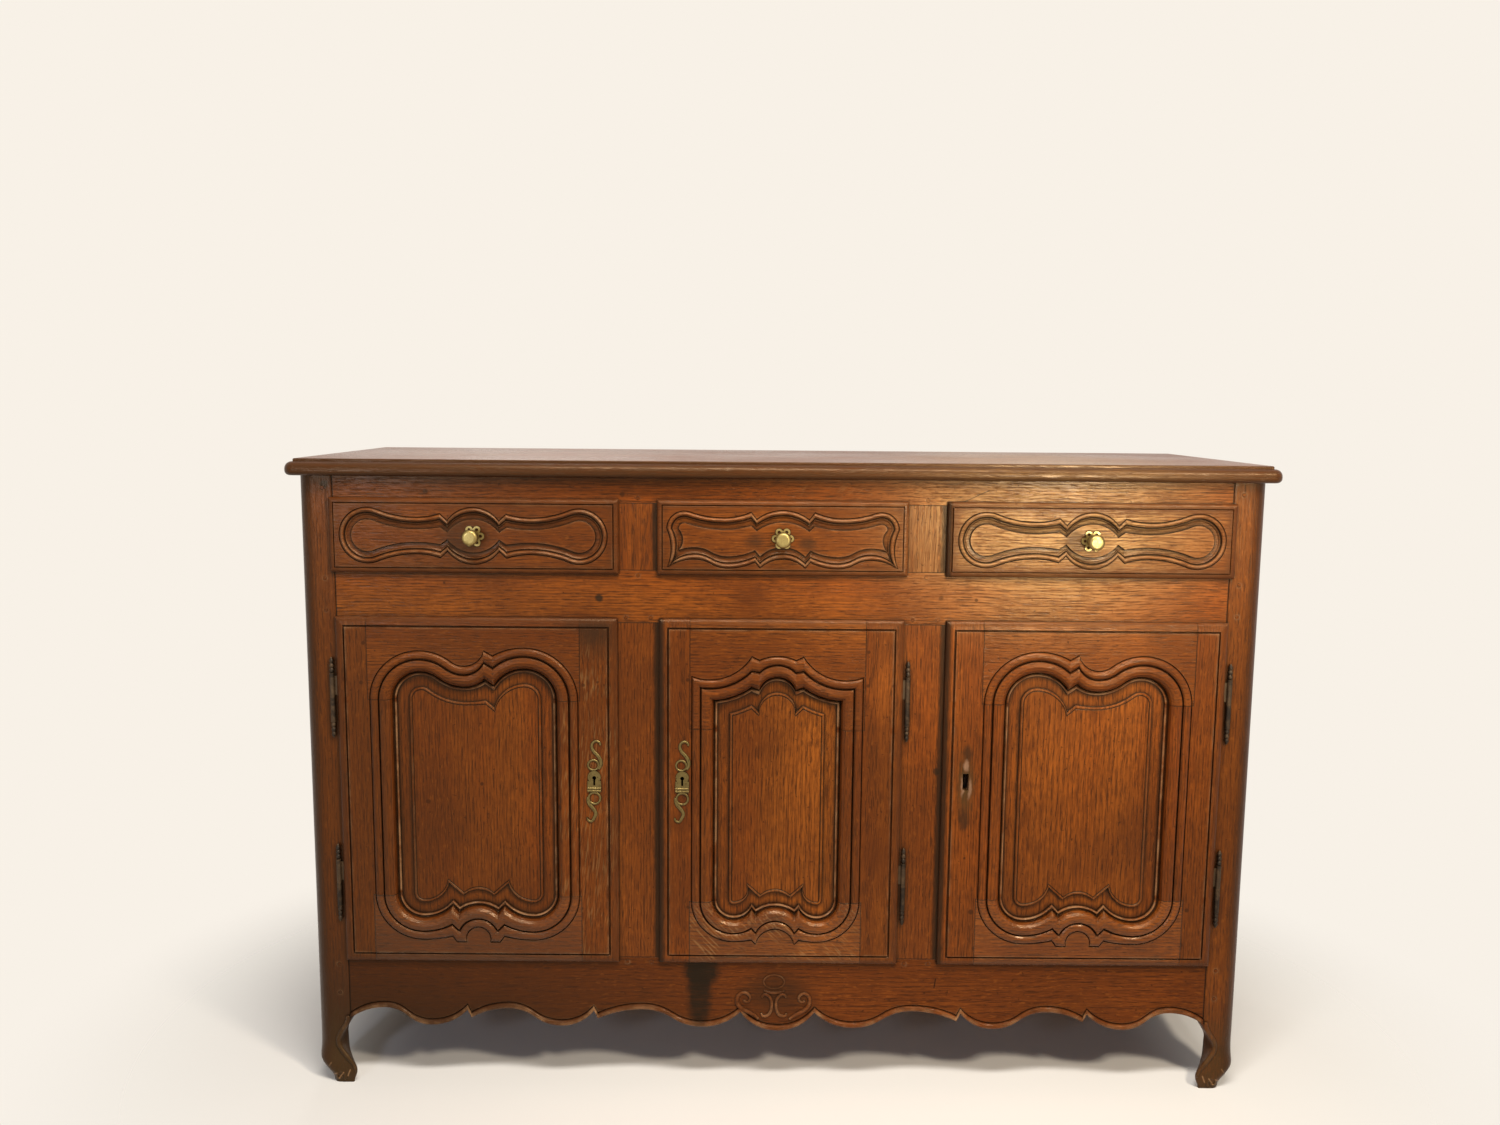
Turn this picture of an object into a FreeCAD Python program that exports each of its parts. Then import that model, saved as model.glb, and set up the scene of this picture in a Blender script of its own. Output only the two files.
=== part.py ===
import FreeCAD, Part
import Sketcher
import math
import os

from FreeCAD import Placement, Rotation, Vector

# Three-door oak buffet with three drawers, carved door panels and a scalloped apron.
# Millimetres. +Z is up, the front faces -Y, +X is to the right as one looks at the front.
# The origin is on the floor, under the middle of the whole piece.

doc = FreeCAD.newDocument("Buffet")

SIZES = {
    # Case as a whole
    "top_width": 1650,
    "overall_height": 1100,
    "case_depth": 500,
    # Top board
    "top_thickness": 28,
    "top_front_overhang": 24,
    "top_side_overhang": 15,
    "top_back_overhang": 6,
    "top_step": 5,
    "top_step_inset": 14,
    "top_corner": 16,
    "nose_upper_radius": 12,
    "nose_lower_radius": 8,
    "step_radius": 2,
    # Posts and feet
    "post_width": 59,
    "post_depth": 58,
    "post_round": 24,
    "post_edge": 3,
    "back_post_width": 59,
    "back_post_depth": 50,
    "foot_height": 118,
    "neck_height": 74,
    "neck_width": 40,
    "neck_hollow": 14,
    "toe_height": 22,
    "toe_reach": 13,
    "toe_forward": 9,
    "heel_height": 46,
    "heel_inset": 26,
    "volute_radius": 9.5,
    "volute_rise": 2.4,
    # Front frame
    "rail_thickness": 28,
    "divider_thickness": 32,
    "top_rail_height": 42,
    "middle_rail_height": 88,
    "drawer_opening_height": 114,
    "divider_offset": 242,
    "drawer_divider_width": 76,
    "door_divider_width": 84,
    "apron_top": 233,
    "lobe_height": 107,
    "arch_height": 139,
    "cusp_height": 135,
    "notch_height": 121,
    "drop_height": 101,
    "drop_half": 65,
    "drop_side_height": 135,
    "apron_bead": 10,
    "apron_bead_proud": 3.8,
    "ornament_rise": 4,
    "ornament_shift": 6,
    # Joinery
    "tenon_length": 34,
    "tenon_thickness": 10,
    "tenon_shoulder": 8,
    "tenon_setback": 9,
    "divider_tenon": 16,
    "peg_radius": 3.2,
    "peg_proud": 0.6,
    "peg_length": 24,
    "peg_clearance": 0.1,
    "peg_inset": 17,
    # Ends and back
    "side_inset": 3,
    "side_rail_thickness": 26,
    "side_top_rail_height": 95,
    "side_bottom_rail_height": 98,
    "side_panel_thickness": 12,
    "panel_tongue": 9,
    "side_field_margin": 30,
    "side_field_rise": 5,
    "side_field_bevel": 22,
    "back_inset": 2,
    "back_thickness": 22,
    "back_rail_height": 78,
    "back_muntin_width": 72,
    "back_panel_thickness": 10,
    # Inside
    "board_thickness": 20,
    "shelf_height": 545,
    "shelf_setback": 62,
    "cleat": 20,
    "runner_thickness": 24,
    "runner_width": 32,
    "guide_height": 20,
    "guide_clearance": 1.5,
    # Doors
    "door_proud": 11,
    "door_inner_depth": 15,
    "door_lip_overlap": 7,
    "hinge_lip_overlap": 2,
    "door_gap": 2.5,
    "hinge_gap": 3,
    "lip_gap": 0.4,
    "door_lip_width": 21,
    "stile_margin": 61,
    "top_margin": 50,
    "bottom_margin": 41,
    "moulding_width": 44,
    "band_width": 17,
    "band_rise": 3.8,
    "torus_rise": 4.6,
    "sight_bead": 6.4,
    "sight_bead_rise": 2,
    "sight_lift": 3,
    "quirk_depth": 2,
    "shoulder_margin": 3,
    "groove_depth": 9,
    "tongue_clearance": 1,
    "groove_clearance": 0.1,
    "panel_setback": 12,
    "panel_thickness": 7,
    "field_inset": 21,
    "field_edge": 6,
    "field_rise": 4.2,
    "panel_shift": 5,
    "center_panel_shift": 6,
    # Curved head of the outer doors
    "small_hump": 42,
    "large_hump": 48,
    "trough_offset": 16,
    "trough_rise": 16,
    "head_cusp_offset": 18,
    "head_cusp_rise": 27,
    "head_notch_offset": 33,
    "head_notch_rise": 16,
    # Curved head of the middle door
    "sweep_radius": 126,
    "sweep_offset": 115,
    "sweep_drop": 146,
    "center_cusp_offset": 44,
    "center_notch_offset": 31,
    "center_notch_rise": 16,
    "center_arch_rise": 41,
    # Curved foot of every door panel
    "lobe_radius": 38,
    "tip_offset": 45,
    "tip_rise": 25,
    "center_lobe_radius": 30,
    "center_tip_offset": 41,
    "center_tip_rise": 22,
    "foot_notch_offset": 34,
    "foot_notch_rise": 13,
    "foot_arch_rise": 23,
    "foot_flat": 0.8,
    "foot_flare": 14,
    # Hinges
    "hinge_offset": 8,
    "hinge_standoff": 4.4,
    "barrel_radius": 3.9,
    "barrel_length": 82,
    "barrel_gap": 0.4,
    "finial_length": 29,
    "pin_radius": 2,
    "pin_length": 34,
    "pin_clearance": 0.05,
    "leaf_thickness": 1.6,
    "leaf_width": 30,
    "upper_hinge_drop": 140,
    "lower_hinge_rise": 141,
    # Locks
    "keyhole_height": 557,
    "keyhole_inset": 40,
    "keyhole_radius": 3.4,
    "keyhole_length": 13,
    "bare_slot_width": 10,
    "bare_slot_length": 30,
    "lock_case_width": 64,
    "lock_case_height": 74,
    "lock_case_depth": 13,
    "bolt_length": 48,
    "bolt_height": 16,
    "bolt_thickness": 7,
    "bolt_throw": 12,
    "bolt_rise": 20,
    "bolt_clearance": 0.4,
    "escutcheon_height": 150,
    "escutcheon_thickness": 2.2,
    # Drawers
    "drawer_proud": 10,
    "drawer_inner_depth": 14,
    "drawer_lip_overlap": 6,
    "drawer_lip_width": 12,
    "drawer_gap": 2,
    "drawer_floor_gap": 0.6,
    "drawer_side_thickness": 12,
    "drawer_side_height": 108,
    "drawer_box_length": 420,
    "drawer_bottom_thickness": 8,
    "drawer_bottom_rise": 6,
    "drawer_groove": 6,
    "cartouche_half_width": 10.5,
    "cartouche_bead": 6,
    "cartouche_bead_rise": 2.8,
    "cartouche_depth": 3.6,
    "cartouche_margin": 28,
    "cartouche_end_radius": 37,
    "cartouche_trough": 21,
    "cartouche_trough_offset": 95,
    "cartouche_tip_offset": 55,
    "cartouche_tip": 26,
    "cartouche_notch_offset": 43,
    "cartouche_notch": 16,
    "cartouche_arch": 38,
    "center_cartouche_margin": 26,
    "center_cartouche_rise": 35,
    # Knobs
    "knob_radius": 14.5,
    "knob_reach": 31,
    "knob_rim": 5,
    "stem_radius": 5,
    "stem_foot_radius": 8,
    "shank_radius": 3.5,
    "shank_clearance": 0.2,
    "nut_thickness": 5,
    "nut_width": 13,
    "rosette_disc_radius": 12.5,
    "rosette_lobe_radius": 6,
    "rosette_hole_radius": 2.6,
    "rosette_thickness": 1.6,
}

sheet = doc.addObject("Spreadsheet::Sheet", "Sizes")
for row, (alias, value) in enumerate(SIZES.items(), start=1):
    sheet.set("A%d" % row, alias)
    sheet.set("B%d" % row, str(value))
    sheet.setAlias("B%d" % row, alias)
doc.recompute()

# Planes of the case that many pieces share, worked out from the sizes.
LAYOUT = {
    "front_y": "(Sizes.drawer_proud + Sizes.knob_reach - Sizes.case_depth - Sizes.top_back_overhang) / 2",
    "back_y": "front_y + Sizes.case_depth",
    "rail_y": "front_y + Sizes.rail_thickness",
    "case_half": "Sizes.top_width / 2 - Sizes.top_side_overhang",
    "post_inner": "case_half - Sizes.post_width",
    "back_post_inner": "case_half - Sizes.back_post_width",
    "post_back_y": "front_y + Sizes.post_depth",
    "back_post_y": "back_y - Sizes.back_post_depth",
    "side_outer": "case_half - Sizes.side_inset",
    "side_inner": "side_outer - Sizes.side_rail_thickness",
    "back_outer_y": "back_y - Sizes.back_inset",
    "back_inner_y": "back_outer_y - Sizes.back_thickness",
    "underside": "Sizes.overall_height - Sizes.top_thickness",
    "drawer_top": "underside - Sizes.top_rail_height",
    "drawer_bottom": "drawer_top - Sizes.drawer_opening_height",
    "door_top": "drawer_bottom - Sizes.middle_rail_height",
    "door_bottom": "Sizes.apron_top + 0",
    "drawer_bay_inner": "Sizes.divider_offset + Sizes.drawer_divider_width / 2",
    "drawer_bay_center": "Sizes.divider_offset - Sizes.drawer_divider_width / 2",
    "door_bay_inner": "Sizes.divider_offset + Sizes.door_divider_width / 2",
    "door_bay_center": "Sizes.divider_offset - Sizes.door_divider_width / 2",
    "door_face_y": "front_y - Sizes.door_proud",
    "door_back_y": "front_y + Sizes.door_inner_depth",
    "lip_back_y": "front_y - Sizes.lip_gap",
    "door_lip_top": "door_top + Sizes.door_lip_overlap",
    "door_lip_bottom": "door_bottom - Sizes.door_lip_overlap",
    "hinge_y": "front_y - Sizes.hinge_standoff",
    "drawer_face_y": "front_y - Sizes.drawer_proud",
    "drawer_back_y": "front_y + Sizes.drawer_inner_depth",
    "drawer_middle": "(drawer_top + drawer_bottom) / 2",
    "drawer_box_y": "drawer_back_y + Sizes.drawer_box_length",
    "drawer_floor": "drawer_bottom + Sizes.drawer_floor_gap",
    "drawer_panel": "drawer_floor + Sizes.drawer_bottom_rise",
    "bolt_y": "door_back_y + Sizes.lock_case_depth / 2 - Sizes.bolt_thickness / 2",
    "bolt_z": "Sizes.keyhole_height + Sizes.bolt_rise - Sizes.bolt_height / 2",
}

layout = doc.addObject("App::VarSet", "Layout")
for name, expression in LAYOUT.items():
    layout.addProperty("App::PropertyFloat", name)
    layout.setExpression(name, expression)
doc.recompute()

NODES = []


def size(alias):
    """A driving dimension, read from the sheet."""
    return float(sheet.get(alias))


def at(name):
    """A shared plane of the case, read from the layout."""
    return float(getattr(layout, name))


def board(name, x, y, z):
    """Straight board between three pairs of planes, each plane given as an expression."""
    box = doc.addObject("Part::Box", name)
    for length, axis, (low, high) in (("Length", "x", x), ("Width", "y", y), ("Height", "z", z)):
        box.setExpression(length, "(%s) - (%s)" % (high, low))
        box.setExpression("Placement.Base." + axis, low)
    return box


def joined(name, *pieces):
    """Pieces of one stick of wood fused into one solid."""
    fuse = doc.addObject("Part::MultiFuse", name)
    fuse.Shapes = list(pieces)
    return fuse


def carved(name, base, *tools):
    """A blank with the room for its mating pieces cut out of it."""
    for step, tool in enumerate(tools, start=1):
        cut = doc.addObject("Part::Cut", name if step == len(tools) else "%s_cut%d" % (name, step))
        cut.Base = base
        cut.Tool = tool
        base = cut
    return base


def dowel(name, radius, x, y, z):
    """Round pin along the depth of the case, between two planes."""
    pin = doc.addObject("Part::Cylinder", name)
    pin.setExpression("Radius", radius)
    pin.setExpression("Height", "(%s) - (%s)" % (y[1], y[0]))
    pin.Placement = Placement(Vector(0, 0, 0), Rotation(Vector(1, 0, 0), -90))
    for axis, place in (("x", x), ("y", y[0]), ("z", z)):
        pin.setExpression("Placement.Base." + axis, place)
    return pin


def gathered(name, *pieces):
    """Like pieces that share one node."""
    group = doc.addObject("Part::Compound", name)
    group.Links = list(pieces)
    return group


def mirrored(name, source):
    """The piece's twin on the other side of the case."""
    twin = doc.addObject("Part::Mirroring", name)
    twin.Source = source
    twin.Normal = Vector(1, 0, 0)
    return twin


def formed(name, shape):
    """A carved or turned piece whose form is worked out below."""
    piece = doc.addObject("Part::Feature", name)
    piece.Shape = shape
    return piece


def node(piece, name):
    """Names a finished piece for its file."""
    piece.Label = name
    NODES.append(piece)
    return piece


# Outlines.
# An outline is a list of segments in the plane of the front. Each segment is two points (a line)
# or three points (an arc). Every outline is a function of the offset d from its sight line, so
# that one moulding can be carried round it.

def arc_about(center, start, end):
    """Arc of less than half a turn round a centre."""
    radius = math.hypot(start[0] - center[0], start[1] - center[1])
    along = (start[0] + end[0] - 2 * center[0], start[1] + end[1] - 2 * center[1])
    reach = math.hypot(along[0], along[1])
    middle = (center[0] + radius * along[0] / reach, center[1] + radius * along[1] / reach)
    return [start, middle, end]


def level_arc(level, other):
    """Arc that leaves the first point level and ends in the other point."""
    run = other[0] - level[0]
    rise = other[1] - level[1]
    radius = (run * run + rise * rise) / (2 * rise)
    return arc_about((level[0], level[1] + radius), level, other)


def turned_round(segment):
    """The same segment run from its other end."""
    return segment[::-1]


def mirrored_half(segments):
    """Right half of an outline whose left half ends on the middle line."""
    flipped = [[(-u, z) for u, z in segment] for segment in segments]
    return [turned_round(segment) for segment in flipped[::-1]]


def wave(low, high):
    """S curve between two level points: two arcs that meet half way."""
    middle = ((low[0] + high[0]) / 2, (low[1] + high[1]) / 2)
    return [level_arc(low, middle), turned_round(level_arc(high, middle))]


def moved(segments, du, dz):
    """Outline shifted to its place on the front."""
    return [[(u + du, z + dz) for u, z in segment] for segment in segments]


def edges_of(segments, y):
    """Edges of an outline at one depth."""
    edges = []
    for segment in segments:
        points = [Vector(u, y, z) for u, z in segment]
        if len(points) == 2:
            edges.append(Part.makeLine(points[0], points[1]))
        else:
            edges.append(Part.Arc(points[0], points[1], points[2]).toShape())
    return edges


def polygon(points):
    """Flat face through its corners."""
    return Part.Face(Part.makePolygon(points + points[:1]))


def roll(start, end, base, rise, turns):
    """Rounded back of a bead between two offsets, as (offset, depth) at turns given in degrees."""
    middle, half = (start + end) / 2, (start - end) / 2
    return [(middle + half * math.cos(math.radians(turn)), base - rise * math.sin(math.radians(turn)))
            for turn in turns]


def bands(levels):
    """Ruled faces between the outlines of neighbouring levels."""
    faces = []
    for lower, upper in zip(levels, levels[1:]):
        for first, second in zip(lower, upper):
            a, b = first.firstVertex().Point, first.lastVertex().Point
            c, e = second.firstVertex().Point, second.lastVertex().Point
            straight = isinstance(first.Curve, Part.Line) and isinstance(second.Curve, Part.Line)
            if straight and (b - a).cross(e - c).Length < 1e-6 * (b - a).Length * (e - c).Length:
                faces.append(polygon([a, b, e, c]))
            else:
                faces.append(Part.makeRuledSurface(first, second))
    return faces


def sewn(faces):
    """Solid inside a closed skin of faces."""
    shell = Part.makeShell(faces)
    shell.sewShape()
    solid = Part.makeSolid(Part.Shell(shell.Faces))
    if solid.Volume < 0:
        solid.reverse()
    return solid


def moulded_rail(outline, profile, frame, face_y, back_y):
    """Rail whose curved edge carries a moulding.

    profile lists (offset, depth) from the face round to the back; frame lists the corners of the
    straight part, from the outline's right end to its left end."""
    segments = [outline(offset) for offset, depth in profile]
    depths = [face_y + depth for offset, depth in profile]
    levels = [edges_of(line, y) for line, y in zip(segments, depths)]
    faces = bands(levels)
    for place, y in ((0, face_y), (-1, back_y)):
        ends = [segments[place][-1][-1]] + frame + [segments[place][0][0]]
        straight = edges_of([list(pair) for pair in zip(ends, ends[1:])], y)
        faces.append(Part.Face(Part.Wire(levels[place] + straight)))
    for end, corner in ((-1, frame[0]), (0, frame[-1])):
        rim = [Vector(line[end][end][0], y, line[end][end][1]) for line, y in zip(segments, depths)]
        rim += [Vector(corner[0], back_y, corner[1]), Vector(corner[0], face_y, corner[1])]
        faces.append(polygon(rim))
    for first, second in zip(frame, frame[1:]):
        faces.append(polygon([
            Vector(first[0], face_y, first[1]),
            Vector(second[0], face_y, second[1]),
            Vector(second[0], back_y, second[1]),
            Vector(first[0], back_y, first[1]),
        ]))
    return sewn(faces)


def scroll(stations, y, rise):
    """Raised scroll with a rounded back, half sunk in the plane y.

    Each station is the scroll's middle (u, z) and its half width there."""
    line = Part.BSplineCurve()
    line.interpolate([Vector(u, y, z) for u, z, half in stations])
    spine = line.toShape()
    sections = []
    for step in range(SCROLL_SECTIONS + 1):
        share = step / SCROLL_SECTIONS
        mark = spine.FirstParameter + share * (spine.LastParameter - spine.FirstParameter)
        place, along = spine.valueAt(mark), spine.tangentAt(mark)
        before = min(int(share * (len(stations) - 1)), len(stations) - 2)
        part = share * (len(stations) - 1) - before
        half = stations[before][2] * (1 - part) + stations[before + 1][2] * part
        across = Vector(-along.z, 0, along.x) * half
        lift = Vector(0, min(rise, 0.95 * half), 0)
        sections.append(Part.Wire(Part.Ellipse(place + across, place + lift, place).toShape()))
    return Part.makeLoft(sections, True, False)


SCROLL_SECTIONS = 24


def block(x, y, z):
    """Plain block between three pairs of planes."""
    return Part.makeBox(x[1] - x[0], y[1] - y[0], z[1] - z[0], Vector(x[0], y[0], z[0]))


def plane_of(body, role):
    return [feature for feature in body.Origin.OriginFeatures if feature.Role == role][0]


def outline_sketch(body, name, role, vertices):
    """Closed sketch of straight lines whose vertices are bound to expressions."""
    sketch = body.newObject("Sketcher::SketchObject", name)
    sketch.AttachmentSupport = [(plane_of(body, role), "")]
    sketch.MapMode = "FlatFace"
    corners = []
    for index in range(len(vertices)):
        turn = 2 * math.pi * index / len(vertices)
        corners.append(Vector(50 * math.cos(turn), 50 * math.sin(turn), 0))
    for index in range(len(vertices)):
        sketch.addGeometry(Part.LineSegment(corners[index], corners[(index + 1) % len(vertices)]), False)
    for index in range(len(vertices)):
        sketch.addConstraint(Sketcher.Constraint("Coincident", index, 2, (index + 1) % len(vertices), 1))
    for index, vertex in enumerate(vertices):
        for kind, axis, expression in (("DistanceX", -2, vertex[0]), ("DistanceY", -1, vertex[1])):
            if expression == "0":
                sketch.addConstraint(Sketcher.Constraint("PointOnObject", index, 1, axis))
            else:
                place = sketch.addConstraint(Sketcher.Constraint(kind, -1, 1, index, 1, 10.0))
                sketch.setExpression("Constraints[%d]" % place, expression)
    return sketch


def edge_names(shape, chosen):
    """Names of the edges that lie where the rule says."""
    return ["Edge%d" % (index + 1) for index, edge in enumerate(shape.Edges) if chosen(edge.BoundBox)]


def rounded(body, name, chosen, radius):
    """Rounds the chosen edges of the body as it stands."""
    doc.recompute()
    base = body.Tip
    fillet = body.newObject("PartDesign::Fillet", name)
    fillet.Base = (base, edge_names(base.Shape, chosen))
    fillet.setExpression("Radius", radius)
    doc.recompute()
    return fillet


# Top: a slab with a rounded nose on three sides, and a plateau one step higher.
TOP_FRONT = "Layout.front_y - Sizes.top_front_overhang"
TOP_BACK = "Layout.back_y + Sizes.top_back_overhang"
TOP_HALF = "Sizes.top_width / 2"
STEP_HALF = "Sizes.top_width / 2 - Sizes.top_step_inset"
STEP_FRONT = TOP_FRONT + " + Sizes.top_step_inset"

top_board = doc.addObject("PartDesign::Body", "top_board")
slab_outline = outline_sketch(top_board, "slab_outline", "XY_Plane", [
    ("-" + TOP_HALF, TOP_FRONT), (TOP_HALF, TOP_FRONT), (TOP_HALF, TOP_BACK), ("-" + TOP_HALF, TOP_BACK)])
slab_outline.setExpression("AttachmentOffset.Base.z", "Layout.underside")
slab = top_board.newObject("PartDesign::Pad", "slab")
slab.Profile = slab_outline
slab.setExpression("Length", "Sizes.top_thickness - Sizes.top_step")
top_back = at("back_y") + size("top_back_overhang")
nose_top = size("overall_height") - size("top_step")
rounded(top_board, "plan_corners", lambda box: box.ZLength > 1 and box.YMax < 0, "Sizes.top_corner")
rounded(top_board, "nose_upper", lambda box: box.ZMin > nose_top - 0.01 and box.YMin < top_back - 0.01,
        "Sizes.nose_upper_radius")
rounded(top_board, "nose_lower",
        lambda box: box.ZMax < at("underside") + 0.01 and box.YMin < top_back - 0.01,
        "Sizes.nose_lower_radius")
step_outline = outline_sketch(top_board, "step_outline", "XY_Plane", [
    ("-(%s)" % STEP_HALF, STEP_FRONT), (STEP_HALF, STEP_FRONT), (STEP_HALF, TOP_BACK),
    ("-(%s)" % STEP_HALF, TOP_BACK)])
step_outline.setExpression("AttachmentOffset.Base.z", "Sizes.overall_height - Sizes.top_step")
plateau = top_board.newObject("PartDesign::Pad", "plateau")
plateau.Profile = step_outline
plateau.setExpression("Length", "Sizes.top_step")
rounded(top_board, "plateau_edge",
        lambda box: box.ZMin > size("overall_height") - 0.01 and box.YMin < top_back - 0.01,
        "Sizes.step_radius")
node(top_board, "top_board")


# Front posts: a rounded outer corner above, a foot with a drawn-in neck and a scrolled toe below.
def post_section(z, corners):
    """Level section of the left post; each corner is (x, y, radius of its rounding)."""
    count = len(corners)
    arcs = []
    for index, (x, y, radius) in enumerate(corners):
        corner = Vector(x, y, z)
        before = Vector(*corners[index - 1][:2], z) - corner
        after = Vector(*corners[(index + 1) % count][:2], z) - corner
        half_turn = before.getAngle(after) / 2
        inward = before.normalize() + after.normalize()
        inward.normalize()
        reach = radius / math.tan(half_turn)
        middle = corner + inward * (radius / math.sin(half_turn) - radius)
        arcs.append((corner + before * reach, middle, corner + after * reach))
    edges = []
    for index, (start, middle, end) in enumerate(arcs):
        edges.append(Part.Arc(start, middle, end).toShape())
        edges.append(Part.makeLine(end, arcs[(index + 1) % count][0]))
    return Part.Wire(edges)


def eased(z, stations):
    """Value at a height, led smoothly from station to station; each station is (height, value)."""
    for (low, first), (high, last) in zip(stations, stations[1:]):
        if z <= high:
            share = (z - low) / (high - low)
            return first + (last - first) * share * share * (3 - 2 * share)
    return stations[-1][1]


def toe_face(z):
    """Depth of the foot's front face at a height: it swells forward over the toe."""
    front, forward = at("front_y"), size("toe_forward")
    return eased(z, [(0, front - TOE_TUCK * forward), (size("toe_height"), front - forward),
                     (size("neck_height"), front), (size("foot_height"), front)])


def foot_section(z):
    """Section of the left foot at a height: heel, front arris with its toe, hollow neck behind it."""
    outer, inner = -at("case_half"), -at("post_inner")
    back = at("post_back_y")
    foot, neck, toe = size("foot_height"), size("neck_height"), size("toe_height")
    waist = outer + size("neck_width")
    tip = inner + size("toe_reach")
    hollow, edge = size("neck_hollow"), size("post_edge")
    heel = eased(z, [(0, outer + size("heel_inset")), (size("heel_height"), outer), (foot, outer)])
    arris = eased(z, [(0, tip - size("toe_reach") / 2), (toe, tip), (neck, waist), (foot, inner)])
    behind = eased(z, [(0, waist), (neck, waist), (foot, inner)])
    face = toe_face(z)
    rear = eased(z, [(0, back - hollow), (neck, back - hollow), (foot, back)])
    bend = size("post_round") * eased(z, [(0, 0.6), (toe, 0.8), (neck, 1), (foot, 1)])
    return post_section(z, [(heel, face, bend), (arris, face, edge),
                            (behind, rear, edge), (heel, rear, edge)])


def front_post():
    """Left front post and its foot in one piece, with a volute carved on the toe."""
    foot = size("foot_height")
    sections = [foot_section(foot * step / FOOT_SECTIONS) for step in range(FOOT_SECTIONS + 1)]
    shaft = Part.Face(sections[-1]).extrude(Vector(0, 0, at("underside") - foot))
    stick = Part.makeLoft(sections, True, False).fuse(shaft)
    radius = size("volute_radius")
    middle = (size("neck_width") - at("case_half"), radius + size("volute_rise"))
    spiral = []
    for step in range(VOLUTE["stations"]):
        share = step / (VOLUTE["stations"] - 1)
        turn = math.radians(VOLUTE["start"] + VOLUTE["turn"] * share)
        reach = radius * (1 - VOLUTE["wind"] * share)
        half = radius * (VOLUTE["band"] - VOLUTE["taper"] * share)
        spiral.append((middle[0] + reach * math.cos(turn), middle[1] + reach * math.sin(turn), half))
    volute = scroll(spiral, toe_face(middle[1]), size("volute_rise"))
    return stick.fuse(volute).removeSplitter()


FOOT_SECTIONS = 14
TOE_TUCK = 0.72
# Volute on the toe: turns in degrees, the rest as shares of its radius.
VOLUTE = {"start": -40, "turn": 400, "stations": 11, "wind": 0.68, "band": 0.24, "taper": 0.14}
left_post_blank = formed("left_post_blank", front_post())
right_post_blank = mirrored("right_post_blank", left_post_blank)
BACK_POST_X = ("-Layout.case_half", "-Layout.back_post_inner")
back_post_blank = board("back_post_blank", BACK_POST_X, ("Layout.back_post_y", "Layout.back_y"),
                        ("0", "Layout.underside"))


# Rails of the front frame, each with a tenon on either end.
TENON_Y = ("Layout.front_y + Sizes.tenon_setback",
           "Layout.front_y + Sizes.tenon_setback + Sizes.tenon_thickness")
RAIL_Y = ("Layout.front_y", "Layout.rail_y")
RAIL_TENON_X = ("-Layout.post_inner - Sizes.tenon_length", "Layout.post_inner + Sizes.tenon_length")


def shouldered(low, high):
    """Height of a tenon, drawn in from the edges of its rail."""
    return (low + " + Sizes.tenon_shoulder", high + " - Sizes.tenon_shoulder")


def front_rail(name, low, high):
    rail = board(name + "_bar", ("-Layout.post_inner", "Layout.post_inner"), RAIL_Y, (low, high))
    tenons = board(name + "_tenons", RAIL_TENON_X, TENON_Y, shouldered(low, high))
    return joined(name + "_blank", rail, tenons)


top_rail_blank = front_rail("top_rail", "Layout.drawer_top", "Layout.underside")
middle_rail_blank = front_rail("middle_rail", "Layout.door_top", "Layout.drawer_bottom")


def scallops(d):
    """Lower edge of the apron, from the left post to the right, raised by d."""
    half = at("post_inner")
    lobe, arch = size("lobe_height"), size("arch_height")
    cusp, notch = size("cusp_height"), size("notch_height")
    drop = size("drop_half")
    # Places of the lobes, arches and cusps, spread along each half of the apron.
    spread = half - drop
    lobes = [drop + spread * share for share in (0.099, 0.459, 0.792)]
    arches = [drop + spread * share for share in (0.249, 0.593, 0.911)]
    cusps = [drop + spread * share for share in (0.37, 0.694)]
    step = 0.01 * spread
    half_line = [level_arc((0, size("drop_height")), (drop, size("drop_side_height")))]
    half_line.append(turned_round(level_arc((lobes[0], lobe), (drop, size("drop_side_height")))))
    for index in range(2):
        half_line += wave((lobes[index], lobe), (arches[index], arch))
        half_line.append(level_arc((arches[index], arch), (cusps[index] - step / 2, notch)))
        half_line.append([(cusps[index] - step / 2, notch), (cusps[index] + step / 2, cusp)])
        half_line.append(turned_round(level_arc((lobes[index + 1], lobe), (cusps[index] + step / 2, cusp))))
    half_line += wave((lobes[2], lobe), (arches[2], arch))
    half_line.append(level_arc((arches[2], arch), (half, size("foot_height"))))
    left = [[(-u, z) for u, z in segment][::-1] for segment in half_line[::-1]]
    return moved(left + half_line, 0, d)


def apron_shape():
    """Apron with a bead along its scallops."""
    bead, proud, quirk = size("apron_bead"), size("apron_bead_proud"), size("quirk_depth")
    profile = [(bead, 0), (bead - 0.6 * quirk, quirk)]
    profile += roll(bead - 1.2 * quirk, -0.25 * bead, 0, proud, (25, 60, 95, 130))
    profile += [(0, -0.3 * proud), (0, size("rail_thickness"))]
    frame = [(at("post_inner"), at("door_bottom")), (-at("post_inner"), at("door_bottom"))]
    return moulded_rail(scallops, profile, frame, at("front_y"), at("rail_y"))


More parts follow.
